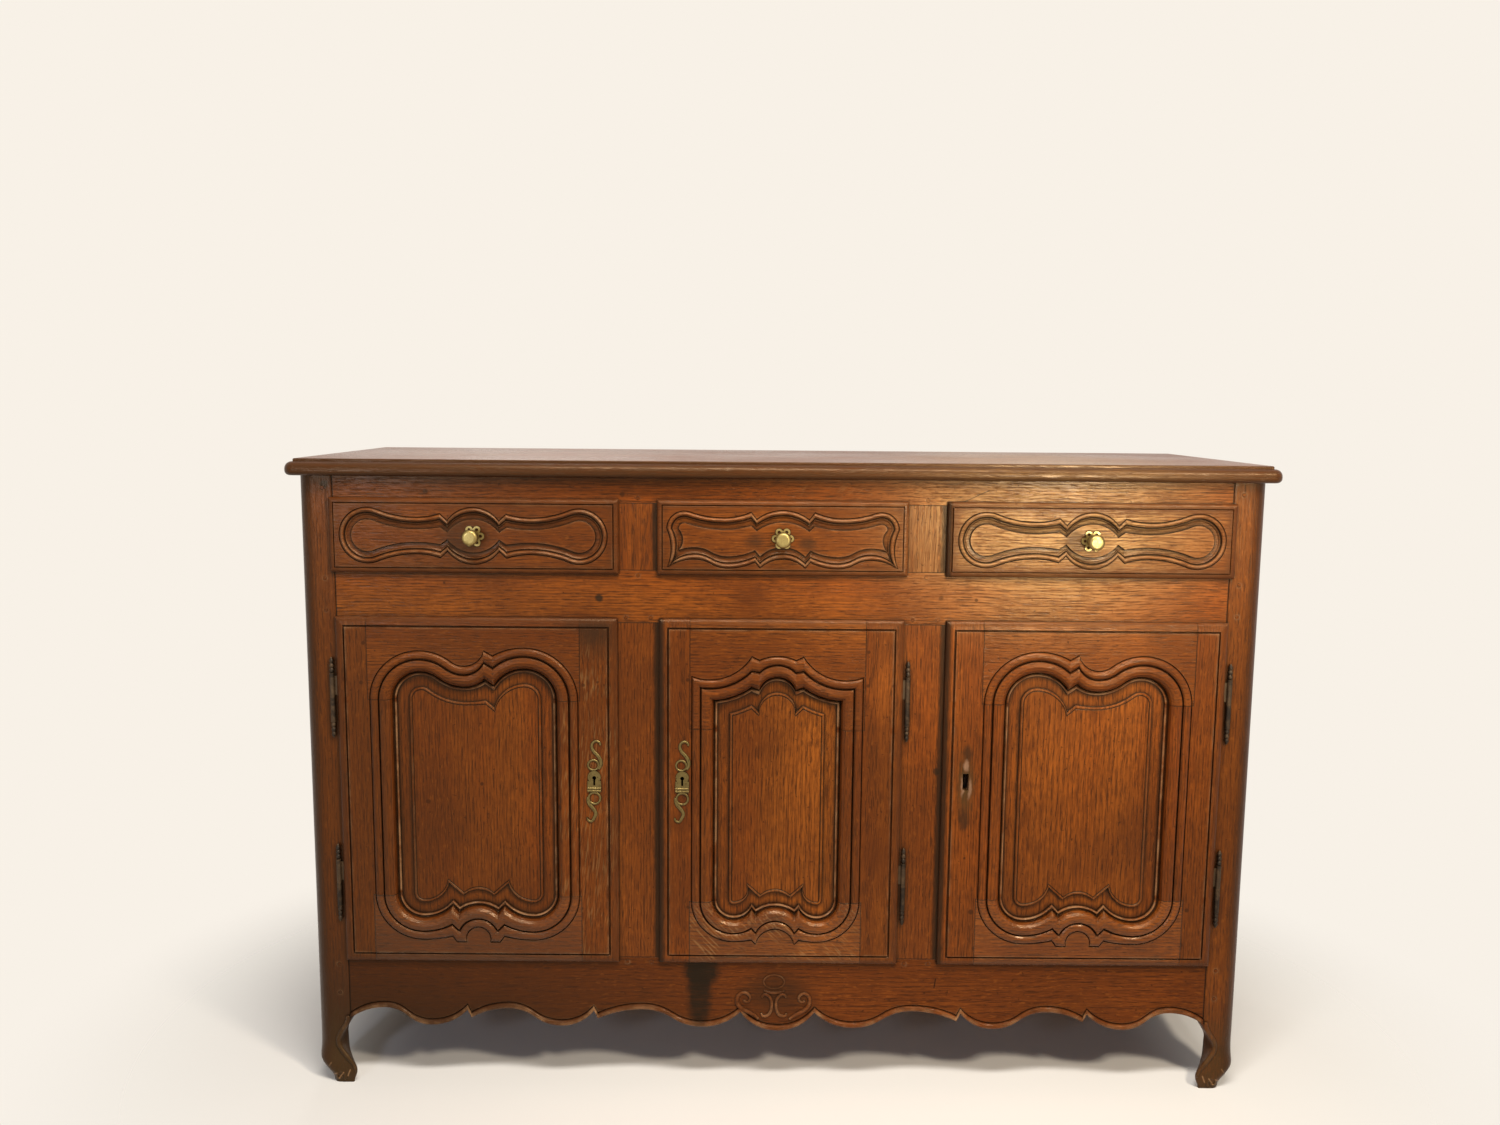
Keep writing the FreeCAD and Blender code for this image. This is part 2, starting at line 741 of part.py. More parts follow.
# Ornament in the middle of the apron, as (u, z, half width): scrolls that rise from the bead of the
# middle lobe, and two curved straps back to back under an oval ring.
LOBE_SCROLLS = [
    [(-28, 121, 2.6), (-46, 134, 3.2), (-60, 143, 3.8), (-65, 155, 4), (-61, 166, 3.8), (-52, 169.5, 3.4),
     (-44, 165, 3), (-42, 157, 2.6), (-47, 152, 2.2), (-52.5, 156, 1.8)],
    [(28, 121, 2.6), (46, 133, 3.2), (58, 142, 3.8), (63, 154, 4), (60.5, 164, 3.8), (53, 168.5, 3.4),
     (46, 165, 3), (43.5, 157.5, 2.6), (48, 152.5, 2.2), (54, 155.5, 1.8)],
]
STRAP = [(21.5, 161, 2.2), (14.5, 166.5, 2.8), (7, 161, 3), (3.6, 150, 3), (5, 137, 3), (11, 127.5, 2.8),
         (18.5, 126, 2.6), (22, 132, 2)]
STRAP_CAP = [(-18, 173, 1.8), (-9, 170, 2.4), (0, 169, 2.6), (9, 170, 2.4), (18, 173, 1.8)]
RING = {"height": 190, "wide": 19.3, "tall": 14, "band": 2.4, "rise": 1.4}


def oval(z, wide, tall, y, depth):
    """Oval disc, standing on the plane y."""
    middle = Vector(0, y, z)
    rim = Part.Ellipse(middle + Vector(wide, 0, 0), middle + Vector(0, 0, tall), middle).toShape()
    return Part.Face(Part.Wire(rim)).extrude(Vector(0, depth, 0))


def ornament():
    """Carving in the middle of the apron."""
    face, rise = at("front_y"), size("ornament_rise")
    strap_twin = [(-u, z, half) for u, z, half in STRAP]
    pieces = [scroll(line, face, rise) for line in LOBE_SCROLLS + [STRAP, strap_twin, STRAP_CAP]]
    start, deep = face - RING["rise"], 2 * RING["rise"]
    height, wide, tall, band = RING["height"], RING["wide"], RING["tall"], RING["band"]
    hole = oval(height, wide - band, tall - band, start, deep)
    pieces.append(oval(height, wide, tall, start, deep).cut(hole))
    whole = pieces[0].multiFuse(pieces[1:])
    whole.translate(Vector(-size("ornament_shift"), 0, 0))
    return whole


apron_bar = formed("apron_bar", apron_shape().fuse(ornament()))
apron_tenons = [
    board("apron_tenon_%s" % side, x, TENON_Y,
          ("Sizes.arch_height + Sizes.tenon_shoulder", "Layout.door_bottom - Sizes.tenon_shoulder"))
    for side, x in (
        ("left", ("-Layout.post_inner - Sizes.tenon_length", "-Layout.post_inner")),
        ("right", ("Layout.post_inner", "Layout.post_inner + Sizes.tenon_length")),
    )
]
apron_blank = joined("apron_blank", apron_bar, *apron_tenons)


# Uprights between the drawers and between the doors, tenoned into the rails above and below.
def upright(name, width, low, high):
    center = "Sizes.divider_offset"
    post = board(name + "_bar", (center + " - %s / 2" % width, center + " + %s / 2" % width),
                 ("Layout.front_y", "Layout.front_y + Sizes.divider_thickness"), (low, high))
    tenon = board(name + "_tenon",
                  (center + " - %s / 2 + Sizes.tenon_shoulder" % width,
                   center + " + %s / 2 - Sizes.tenon_shoulder" % width),
                  TENON_Y, (low + " - Sizes.divider_tenon", high + " + Sizes.divider_tenon"))
    return joined(name + "_blank", post, tenon)


right_drawer_divider = upright("right_drawer_divider", "Sizes.drawer_divider_width",
                               "Layout.drawer_bottom", "Layout.drawer_top")
left_drawer_divider = mirrored("left_drawer_divider", right_drawer_divider)
right_divider_blank = upright("right_door_divider", "Sizes.door_divider_width",
                              "Layout.door_bottom", "Layout.door_top")
left_divider_blank = mirrored("left_divider_blank", right_divider_blank)


# Pegs that pin the tenons of the front frame, and the holes that they fill.
def peg_places():
    inset = size("peg_inset")
    post_x = at("post_inner") + size("tenon_length") / 2
    top_z = (at("drawer_top") + at("underside")) / 2
    places = [(post_x, top_z)]
    places += [(post_x, at("door_top") + inset), (post_x, at("drawer_bottom") - inset)]
    apron_low = size("arch_height") + size("tenon_shoulder") + inset
    places += [(post_x, at("door_bottom") - inset), (post_x, apron_low)]
    tenon = size("divider_tenon") / 2
    drawer_x = size("divider_offset")
    door_x = size("door_divider_width") / 4
    places += [(drawer_x, at("drawer_top") + tenon), (drawer_x, at("drawer_bottom") - tenon)]
    for x in (size("divider_offset") - door_x, size("divider_offset") + door_x):
        places += [(x, at("door_top") + tenon), (x, at("door_bottom") - tenon)]
    return places + [(-x, z) for x, z in places]


def pegs(radius, proud):
    front = at("front_y") - proud
    length = size("peg_length") + proud
    return Part.makeCompound([
        Part.makeCylinder(radius, length, Vector(x, front, z), Vector(0, 1, 0)) for x, z in peg_places()
    ])


joint_pegs = formed("joint_pegs", pegs(size("peg_radius"), size("peg_proud")))
peg_holes = formed("peg_holes", pegs(size("peg_radius") + size("peg_clearance"), 1))
node(joint_pegs, "joint_pegs")
node(carved("top_rail", top_rail_blank, right_drawer_divider, left_drawer_divider, peg_holes), "top_rail")
node(carved("middle_rail", middle_rail_blank, right_drawer_divider, left_drawer_divider,
            right_divider_blank, left_divider_blank, peg_holes), "middle_rail")
node(carved("apron", apron_blank, right_divider_blank, left_divider_blank, peg_holes), "apron")
drawer_divider_pair = gathered("drawer_divider_pair", left_drawer_divider, right_drawer_divider)
node(carved("drawer_dividers", drawer_divider_pair, peg_holes), "drawer_dividers")


# Ends: two rails and a panel with a bevelled field between the posts of each end.
SIDE_X = ("-Layout.side_outer", "-Layout.side_inner")
SIDE_Y = ("Layout.post_back_y", "Layout.back_post_y")
SIDE_TENON_Y = ("Layout.post_back_y - Sizes.tenon_length", "Layout.back_post_y + Sizes.tenon_length")
SIDE_TENON_X = ("-Layout.side_outer + Sizes.tenon_setback",
                "-Layout.side_outer + Sizes.tenon_setback + Sizes.tenon_thickness")
SIDE_TOP = ("Layout.underside - Sizes.side_top_rail_height", "Layout.underside")
SIDE_FOOT = ("Layout.door_bottom - Sizes.side_bottom_rail_height", "Layout.door_bottom")
SIDE_PANEL_X = ("-Layout.side_outer + (Sizes.side_rail_thickness - Sizes.side_panel_thickness) / 2",
                "-Layout.side_outer + (Sizes.side_rail_thickness + Sizes.side_panel_thickness) / 2")


def side_rail(name, z):
    bar = board(name + "_bar", SIDE_X, SIDE_Y, z)
    tenons = board(name + "_tenons", SIDE_TENON_X, SIDE_TENON_Y, shouldered(*z))
    return joined(name + "_blank", bar, tenons)


panel_body = board("side_panel_body", SIDE_PANEL_X,
                   ("Layout.post_back_y - Sizes.panel_tongue", "Layout.back_post_y + Sizes.panel_tongue"),
                   (SIDE_FOOT[1] + " - Sizes.panel_tongue", SIDE_TOP[0] + " + Sizes.panel_tongue"))
FIELD_Y = ("Layout.post_back_y + Sizes.side_field_margin",
           "Layout.back_post_y - Sizes.side_field_margin")
FIELD_Z = (SIDE_FOOT[1] + " + Sizes.side_field_margin", SIDE_TOP[0] + " - Sizes.side_field_margin")
panel_field = doc.addObject("Part::Wedge", "side_panel_field")
for low, high, (first, last), inset in (("Xmin", "Xmax", FIELD_Y, "0"), ("Zmin", "Zmax", FIELD_Z, "0"),
                                        ("X2min", "X2max", FIELD_Y, "Sizes.side_field_bevel"),
                                        ("Z2min", "Z2max", FIELD_Z, "Sizes.side_field_bevel")):
    panel_field.setExpression(low, "%s + %s" % (first, inset))
    panel_field.setExpression(high, "%s - %s" % (last, inset))
panel_field.Ymin = 0
panel_field.setExpression("Ymax", "Sizes.side_field_rise")
panel_field.Placement = Placement(Vector(0, 0, 0), Rotation(Vector(0, 0, 1), 90))
panel_field.setExpression("Placement.Base.x", SIDE_PANEL_X[0])
left_side_panel = joined("left_side_panel", panel_body, panel_field)
right_side_panel = mirrored("right_side_panel", left_side_panel)
node(gathered("side_panels", left_side_panel, right_side_panel), "side_panels")
left_top_side_rail = carved("left_top_side_rail", side_rail("side_top", SIDE_TOP), left_side_panel)
left_foot_side_rail = carved("left_foot_side_rail", side_rail("side_foot", SIDE_FOOT), left_side_panel)
right_top_side_rail = mirrored("right_top_side_rail", left_top_side_rail)
right_foot_side_rail = mirrored("right_foot_side_rail", left_foot_side_rail)
node(gathered("side_rails", left_top_side_rail, left_foot_side_rail,
              right_top_side_rail, right_foot_side_rail), "side_rails")


# Back: three long rails, a muntin and thin panels.
BACK_Y = ("Layout.back_inner_y", "Layout.back_outer_y")
BACK_TENON_Y = ("Layout.back_inner_y + (Sizes.back_thickness - Sizes.tenon_thickness) / 2",
                "Layout.back_inner_y + (Sizes.back_thickness + Sizes.tenon_thickness) / 2")
BACK_PANEL_Y = ("Layout.back_inner_y + (Sizes.back_thickness - Sizes.back_panel_thickness) / 2",
                "Layout.back_inner_y + (Sizes.back_thickness + Sizes.back_panel_thickness) / 2")
BACK_X = ("-Layout.back_post_inner", "Layout.back_post_inner")
BACK_TOP = ("Layout.underside - Sizes.back_rail_height", "Layout.underside")
BACK_MIDDLE = ("Layout.drawer_bottom - Sizes.back_rail_height", "Layout.drawer_bottom")
BACK_FOOT = ("Layout.door_bottom - Sizes.back_rail_height", "Layout.door_bottom")
MUNTIN = "Sizes.back_muntin_width / 2"


def back_rail(name, z):
    bar = board(name + "_bar", BACK_X, BACK_Y, z)
    tenons = board(name + "_tenons",
                   (BACK_X[0] + " - Sizes.tenon_length", BACK_X[1] + " + Sizes.tenon_length"),
                   BACK_TENON_Y, shouldered(*z))
    return joined(name + "_blank", bar, tenons)


def back_panel(name, x, low, high):
    return board(name, x, BACK_PANEL_Y, (low + " - Sizes.panel_tongue", high + " + Sizes.panel_tongue"))


muntin_bar = board("muntin_bar", ("-" + MUNTIN, MUNTIN), BACK_Y, (BACK_FOOT[1], BACK_MIDDLE[0]))
muntin_tenon = board("muntin_tenon",
                     ("-%s + Sizes.tenon_shoulder" % MUNTIN, MUNTIN + " - Sizes.tenon_shoulder"),
                     BACK_TENON_Y,
                     (BACK_FOOT[1] + " - Sizes.divider_tenon", BACK_MIDDLE[0] + " + Sizes.divider_tenon"))
muntin_blank = joined("muntin_blank", muntin_bar, muntin_tenon)
PANEL_OUT = "Layout.back_post_inner + Sizes.panel_tongue"
upper_back_panel = back_panel("upper_back_panel", ("-(%s)" % PANEL_OUT, PANEL_OUT),
                              BACK_MIDDLE[1], BACK_TOP[0])
right_back_panel = back_panel("right_back_panel", (MUNTIN + " - Sizes.panel_tongue", PANEL_OUT),
                              BACK_FOOT[1], BACK_MIDDLE[0])
left_back_panel = mirrored("left_back_panel", right_back_panel)
back_panels = gathered("back_panels", upper_back_panel, left_back_panel, right_back_panel)
node(back_panels, "back_panels")
back_muntin = carved("back_muntin", muntin_blank, back_panels)
back_bars = [
    carved(name, back_rail(name, z), back_panels, muntin_blank)
    for name, z in (("back_top", BACK_TOP), ("back_middle", BACK_MIDDLE), ("back_foot", BACK_FOOT))
]
node(gathered("back_rails", back_muntin, *back_bars), "back_rails")
back_left_post = carved("back_left_post", back_post_blank, left_top_side_rail, left_foot_side_rail,
                        left_side_panel, back_panels, *back_bars)
back_right_post = mirrored("back_right_post", back_left_post)
node(back_left_post, "back_left_post")
node(back_right_post, "back_right_post")


# Doors. A lipped slab covers the opening's edge, and is worked into stiles, rails and a panel.
CUSP_MITRE = 1.36
NOTCH_MITRE = 1.42
TIP_MITRE = 1.44
FOOT_MITRE = 1.4
FIELD_SPREAD = 0.3
FLARE_BACK = 0.25


def rectangle(x, z, inset):
    corners = [(x[0] + inset, z[0] + inset), (x[1] - inset, z[0] + inset),
               (x[1] - inset, z[1] - inset), (x[0] + inset, z[1] - inset)]
    return [[corners[index], corners[(index + 1) % 4]] for index in range(4)]


def lip_levels(x, z, width, face_y, back_y):
    """Ovolo and quirk round the edge of a lipped front, from its back to its face."""
    proud = back_y - face_y
    steps = [(0, 0), (0, 0.3), (0.05, 0.5), (0.18, 0.7), (0.4, 0.83), (0.66, 0.87),
             (0.73, 0.66), (0.79, 0.66), (0.83, 1)]
    return [edges_of(rectangle(x, z, inset * width), back_y - rise * proud) for inset, rise in steps]


def outer_head(half, spring):
    """Head of an outer door's panel: two humps, a trough and a cusp to one side."""
    small, large = size("small_hump"), size("large_hump")
    rise = size("trough_rise")
    left = (small - half, spring)
    right = (half - large, spring)
    run = -size("trough_offset") - left[0]
    hollow = (run * run + rise * rise - small * small) / (2 * (small - rise))

    def outline(d):
        trough = (-size("trough_offset"), spring + rise + d)
        center = (trough[0], trough[1] + hollow - d)
        share = (small + d) / (small + hollow)
        meet = (left[0] + share * (center[0] - left[0]), left[1] + share * (center[1] - left[1]))
        cusp = (size("head_cusp_offset"), spring + size("head_cusp_rise") + CUSP_MITRE * d)
        notch = (size("head_notch_offset"), spring + size("head_notch_rise") + NOTCH_MITRE * d)
        crown = (right[0], spring + large + d)
        return [
            arc_about(left, (left[0] - small - d, spring), meet),
            arc_about(center, meet, trough),
            level_arc(trough, cusp),
            [cusp, notch],
            turned_round(level_arc(crown, notch)),
            arc_about(right, crown, (right[0] + large + d, spring)),
        ]

    return outline


def center_head(half, spring, base):
    """Head of the middle door's panel: two hollow sweeps that rise to cusps beside an arch."""
    offset = size("sweep_offset")
    radius = size("sweep_radius")
    center = (-offset, base + radius)

    def on_sweep(u, d):
        return (u, center[1] - math.sqrt((radius - d) ** 2 - (u + offset) ** 2))

    def outline(d):
        corner = on_sweep(-half - d, d)
        cusp = on_sweep(-size("center_cusp_offset"), d)
        notch = (-size("center_notch_offset"), base + size("center_notch_rise") + NOTCH_MITRE * d)
        crown = (0, base + size("center_arch_rise") + d)
        left = [
            [(-half - d, spring), corner],
            arc_about(center, corner, cusp),
            [cusp, notch],
            turned_round(level_arc(crown, notch)),
        ]
        return left + mirrored_half(left)

    return outline


def panel_foot(half, lobe, tip_offset, tip_rise, base, flare):
    """Foot of a door's panel: two lobes, two tips and a low arch between them.

    By the flare the outer bead runs out into two small feet beside the arch."""
    def outline(d):
        inward = min(d, 0)
        outward = max(d - size("moulding_width") + size("band_width"), 0) / size("band_width")
        bottom = (lobe - half, base - d)
        tip = (FIELD_SPREAD * inward - tip_offset, base + tip_rise - TIP_MITRE * d)
        level = base + size("foot_notch_rise") - (FOOT_MITRE * d if d > 0 else d)
        middle = -size("foot_notch_offset") - FIELD_SPREAD * inward
        notch = (middle - FLARE_BACK * flare * outward, level)
        heel = (middle + flare * outward + size("foot_flat"), level)
        crown = (0, base + size("foot_arch_rise") - d)
        left = [
            arc_about((bottom[0], base + lobe), (-half - d, base + lobe), bottom),
            level_arc(bottom, tip),
            [tip, notch],
            [notch, heel],
            turned_round(level_arc(crown, heel)),
        ]
        return left + mirrored_half(left)

    return outline


def door_profile():
    """Moulding from the frame's face to its back: outer bead, torus, sight bead and panel groove."""
    width, quirk = size("moulding_width"), size("quirk_depth")
    inner = width - size("band_width")
    sight, setback = size("sight_bead"), size("panel_setback")
    clear, torus = size("groove_clearance"), size("torus_rise")
    low = setback - size("sight_lift")
    crest = 0.68 * inner
    profile = [(width, 0), (width - 0.5 * quirk, quirk)]
    profile += roll(width - quirk, inner + quirk, 0, size("band_rise"), (20, 55, 90, 125, 160))
    profile += [(inner + 0.5 * quirk, quirk), (inner - 0.5 * quirk, -0.55 * torus)]
    for degrees in (0, 26, 50, 71, 90):
        turn = math.radians(degrees)
        profile.append((crest - (crest - sight) * math.sin(turn), low - (low + torus) * math.cos(turn)))
    profile.append((sight - 0.5 * quirk, low + 0.6 * quirk))
    profile += roll(sight - quirk, 0, low, size("sight_bead_rise"), (25, 90, 150))
    groove = setback + size("panel_thickness") + clear
    profile += [(0, low + 0.5 * quirk), (0, setback - clear), (size("groove_depth"), setback - clear),
                (size("groove_depth"), groove), (0, groove),
                (0, size("door_proud") + size("door_inner_depth"))]
    return profile


def holed(outer, inner):
    """Flat face between two closed outlines."""
    return Part.makeFace([Part.Wire(outer), Part.Wire(inner)], "Part::FaceMakerBullseye")


def door_shapes(lip_x, inner_x, middle, half, head, head_spring, foot, foot_spring):
    """Stiles, rails and panel of one door."""
    face, back = at("door_face_y"), at("door_back_y")
    lip_z = (at("door_lip_bottom"), at("door_lip_top"))
    inner_z = (at("door_bottom") + size("door_gap"), at("door_top") - size("door_gap"))
    lips = lip_levels(lip_x, lip_z, size("door_lip_width"), face, at("lip_back_y"))
    lip = sewn(bands(lips) + [Part.Face(Part.Wire(lips[0])), Part.Face(Part.Wire(lips[-1]))])
    blank = lip.fuse(block(inner_x, (at("lip_back_y"), back), inner_z)).removeSplitter()
    reach = half + size("moulding_width") + size("shoulder_margin")
    shoulders = (middle - reach, middle + reach)
    core_top = lip_z[1] - (size("top_margin") + size("door_lip_width")) / 2
    core_bottom = lip_z[0] + (size("bottom_margin") + size("door_lip_width")) / 2
    profile = door_profile()
    everywhere = (face - 50, back + 50)
    tenon_y = (face + size("tenon_setback"), face + size("tenon_setback") + size("tenon_thickness"))
    pieces = {}
    for name, outline, spring, core, limit in (
        ("top_rail", head, head_spring, core_top, lip_z[1]),
        ("bottom_rail", foot, foot_spring, core_bottom, lip_z[0]),
    ):
        frame = [(shoulders[1], spring), (shoulders[1], core), (shoulders[0], core), (shoulders[0], spring)]
        carved_part = moulded_rail(lambda d, line=outline: moved(line(d), middle, 0),
                                   profile, frame, face, back)
        edge = blank.common(block(shoulders, everywhere, sorted((core, limit))))
        tenon_z = sorted((core, core + 0.55 * (spring - core)))
        tenons = block((shoulders[0] - size("tenon_length"), shoulders[0]), tenon_y, tenon_z)
        tenons = tenons.fuse(block((shoulders[1], shoulders[1] + size("tenon_length")), tenon_y, tenon_z))
        pieces[name] = carved_part.fuse(edge).fuse(tenons).removeSplitter()
        pieces[name + "_tenons"] = tenons
    tenons = pieces.pop("top_rail_tenons").fuse(pieces.pop("bottom_rail_tenons"))
    for name, side, lip_edge, sign in (("left_stile", 0, lip_x[0], -1), ("right_stile", 1, lip_x[1], 1)):
        shoulder = shoulders[side]
        plank = blank.common(block(sorted((lip_edge, shoulder)), everywhere, lip_z))
        sight = middle + sign * half
        rim = [Vector(sight + sign * offset, face + depth, foot_spring) for offset, depth in profile]
        rim += [Vector(shoulder, back, foot_spring), Vector(shoulder, face, foot_spring)]
        moulding = polygon(rim).extrude(Vector(0, 0, head_spring - foot_spring))
        pieces[name] = plank.fuse(moulding).removeSplitter().cut(tenons)
    pieces["panel"] = panel_shape(middle, half, head, head_spring, foot, foot_spring)
    return pieces


def panel_shape(middle, half, head, head_spring, foot, foot_spring):
    """Fielded panel whose edge lies in the frame's groove."""
    front = at("door_face_y") + size("panel_setback")

    def loop(d, y):
        top = head(d)
        bottom = [turned_round(segment) for segment in foot(d)[::-1]]
        right = [[top[-1][-1], bottom[0][0]]]
        left = [[bottom[-1][-1], top[0][0]]]
        return edges_of(moved(top + right + bottom + left, middle, 0), y)

    tongue = size("groove_depth") - size("tongue_clearance")
    inset, edge, rise = size("field_inset"), size("field_edge"), size("field_rise")
    outer = [loop(tongue, front + size("panel_thickness")), loop(tongue, front)]
    field = [loop(-inset - share * edge, front - lift * rise)
             for share, lift in ((0, 0), (0.06, 0.6), (0.3, 1), (0.62, 0.94), (0.84, 0.55), (1, 0.7))]
    faces = bands(outer) + bands(field)
    faces.append(Part.Face(Part.Wire(outer[0])))
    faces.append(holed(outer[1], field[0]))
    faces.append(Part.Face(Part.Wire(field[-1])))
    return sewn(faces)


# Hinges: a turned lower half with the pin, and a bored upper half that turns on it.
def finial(x, y, z, direction):
    """Collar, three beads and a tip, turned about the hinge's axis, in (radius, share of length)."""
    radius, length = size("barrel_radius"), size("finial_length")
    stations = [(1.05, 0), (1.05, 0.05), (0.55, 0.075), (0.55, 0.36), (0.52, 0.63), (0.48, 0.9), (0.12, 1)]
    swell = [None, None, 0.94, 0.92, 0.86, 0.4]
    points = [Vector(x + reach * radius, y, z + direction * share * length) for reach, share in stations]
    edges = [Part.makeLine(Vector(x, y, z), points[0])]
    for bulge, start, end in zip(swell, points, points[1:]):
        if bulge is None:
            edges.append(Part.makeLine(start, end))
        else:
            bead = Part.BSplineCurve()
            bead.interpolate([start, Vector(x + bulge * radius, y, (start.z + end.z) / 2), end])
            edges.append(bead.toShape())
    top = Vector(x, y, points[-1].z)
    edges.append(Part.makeLine(points[-1], top))
    edges.append(Part.makeLine(top, Vector(x, y, z)))
    return Part.Face(Part.Wire(edges)).revolve(Vector(x, y, z), Vector(0, 0, 1), 360)


def hinge_halves(x, z, toward_door):
    """Fixed and moving half of one hinge; toward_door is +1 where the door lies on the +X side."""
    y = at("hinge_y")
    radius = size("barrel_radius")
    half = size("barrel_length") / 2
    leaf = size("leaf_thickness") / 2
    up = Vector(0, 0, 1)
    inset = 0.1 * half
    fixed = Part.makeCylinder(radius, half, Vector(x, y, z - half), up)
    fixed = fixed.fuse(finial(x, y, z - half, -1))
    fixed = fixed.fuse(Part.makeCylinder(size("pin_radius"), size("pin_length"), Vector(x, y, z), up))
    fixed_leaf = block((x - leaf, x + leaf), (y, y + size("leaf_width")), (z - half + inset, z - inset))
    low = z + size("barrel_gap")
    moving = Part.makeCylinder(radius, half - size("barrel_gap"), Vector(x, y, low), up)
    moving = moving.fuse(finial(x, y, z + half, 1))
    end = x + toward_door * size("leaf_width")
    lip = at("lip_back_y")
    moving_leaf = block(sorted((x, end)), (lip - 2 * leaf, lip), (z + inset, z + half - inset))
    bore = Part.makeCylinder(size("pin_radius") + size("pin_clearance"),
                             size("pin_length") + 1 - size("barrel_gap"), Vector(x, y, low), up)
    return fixed.fuse(fixed_leaf).removeSplitter(), moving.fuse(moving_leaf).cut(bore).removeSplitter()


HINGE_HEIGHTS = (at("door_lip_top") - size("upper_hinge_drop"),
                 at("door_lip_bottom") + size("lower_hinge_rise"))
OUTER_LIP = (-at("post_inner") - size("hinge_lip_overlap"),
             -at("door_bay_inner") + size("door_lip_overlap"))
CENTER_LIP = (-at("door_bay_center") - size("door_lip_overlap"),
              at("door_bay_center") + size("door_lip_overlap"))
left_hinges = [hinge_halves(OUTER_LIP[0] - size("hinge_offset"), z, 1) for z in HINGE_HEIGHTS]
center_hinges = [hinge_halves(CENTER_LIP[1] + size("hinge_offset"), z, -1) for z in HINGE_HEIGHTS]
left_pintles = formed("left_pintles", Part.makeCompound([fixed for fixed, moving in left_hinges]))
center_pintles = formed("center_pintles", Part.makeCompound([fixed for fixed, moving in center_hinges]))
right_pintles = mirrored("right_pintles", left_pintles)
node(gathered("hinge_pintles", left_pintles, center_pintles, right_pintles), "hinge_pintles")
left_knuckles = formed("left_knuckles", Part.makeCompound([moving for fixed, moving in left_hinges]))
center_knuckles = formed("center_knuckles", Part.makeCompound([moving for fixed, moving in center_hinges]))
node(left_knuckles, "left_door_hinge_knuckles")
node(center_knuckles, "center_door_hinge_knuckles")
node(mirrored("right_knuckles", left_knuckles), "right_door_hinge_knuckles")


# Locks: a case on the back of the lock stile, a sliding bolt, and a keyhole through the stile.
def lock(name, edge, direction):
    """Case and bolt of one lock; the bolt shoots past the stile's edge in the given direction."""
    sign = "+" if direction > 0 else "-"
    away = "-" if direction > 0 else "+"

    def span(near, far):
        return (far, near) if direction > 0 else (near, far)

    case_x = span(edge, "%s %s Sizes.lock_case_width" % (edge, away))
    half = "Sizes.lock_case_height / 2"
    case_blank = board(name + "_case_blank", case_x,
                       ("Layout.door_back_y", "Layout.door_back_y + Sizes.lock_case_depth"),
                       ("Sizes.keyhole_height - " + half, "Sizes.keyhole_height + " + half))
    tail = "%s %s Sizes.bolt_length" % (edge, away)
    bolt_y = ("Layout.bolt_y", "Layout.bolt_y + Sizes.bolt_thickness")
    bolt_z = ("Layout.bolt_z", "Layout.bolt_z + Sizes.bolt_height")
    bolt = board(name + "_bolt", span(edge, tail), bolt_y, bolt_z)
    room_y = (bolt_y[0] + " - Sizes.bolt_clearance", bolt_y[1] + " + Sizes.bolt_clearance")
    room_z = (bolt_z[0] + " - Sizes.bolt_clearance", bolt_z[1] + " + Sizes.bolt_clearance")
    room_x = span("%s %s Sizes.bolt_throw" % (edge, sign), tail + " %s Sizes.bolt_clearance" % away)
    channel = board(name + "_channel", room_x, room_y, room_z)
    mortise_x = span("%s %s Sizes.bolt_throw %s 1" % (edge, sign, sign), edge)
    mortise = board(name + "_mortise", mortise_x,
                    (room_y[0] + " - 1", room_y[1] + " + 1"), (room_z[0] + " - 1", room_z[1] + " + 1"))
    return case_blank, channel, bolt, mortise


def keyhole(name, x):
    """Round eye with a slot below it, cut from front to back."""
    eye = dowel(name + "_eye", "Sizes.keyhole_radius", x, KEY_Y,
                "Sizes.keyhole_height + Sizes.keyhole_length / 4")
    slot = board(name + "_slot",
                 (x + " - Sizes.keyhole_radius / 2", x + " + Sizes.keyhole_radius / 2"), KEY_Y,
                 ("Sizes.keyhole_height - Sizes.keyhole_length * 3 / 4", "Sizes.keyhole_height"))
    return joined(name, eye, slot)


KEY_Y = ("Layout.door_face_y - 10", "Layout.door_back_y + Sizes.lock_case_depth + 10")
LEFT_EDGE = "-Layout.door_bay_inner - Sizes.door_gap"
CENTER_EDGE = "-Layout.door_bay_center + Sizes.door_gap"
LEFT_KEY_X = "-Layout.door_bay_inner + Sizes.door_lip_overlap - Sizes.keyhole_inset"
CENTER_KEY_X = "-Layout.door_bay_center - Sizes.door_lip_overlap + Sizes.keyhole_inset"
left_case, left_channel, left_bolt, left_mortise = lock("left_lock", LEFT_EDGE, 1)
center_case, center_channel, center_bolt, center_mortise = lock("center_lock", CENTER_EDGE, -1)
left_key = keyhole("left_keyhole", LEFT_KEY_X)
center_key = keyhole("center_keyhole", CENTER_KEY_X)
left_lock_case = carved("left_lock_case", left_case, left_channel, left_key)
node(left_lock_case, "left_door_lock_case")
node(carved("center_lock_case", center_case, center_channel, center_key), "center_door_lock_case")
node(mirrored("right_lock_case", left_lock_case), "right_door_lock_case")
node(left_bolt, "left_door_bolt")
node(center_bolt, "center_door_bolt")
node(mirrored("right_bolt", left_bolt), "right_door_bolt")


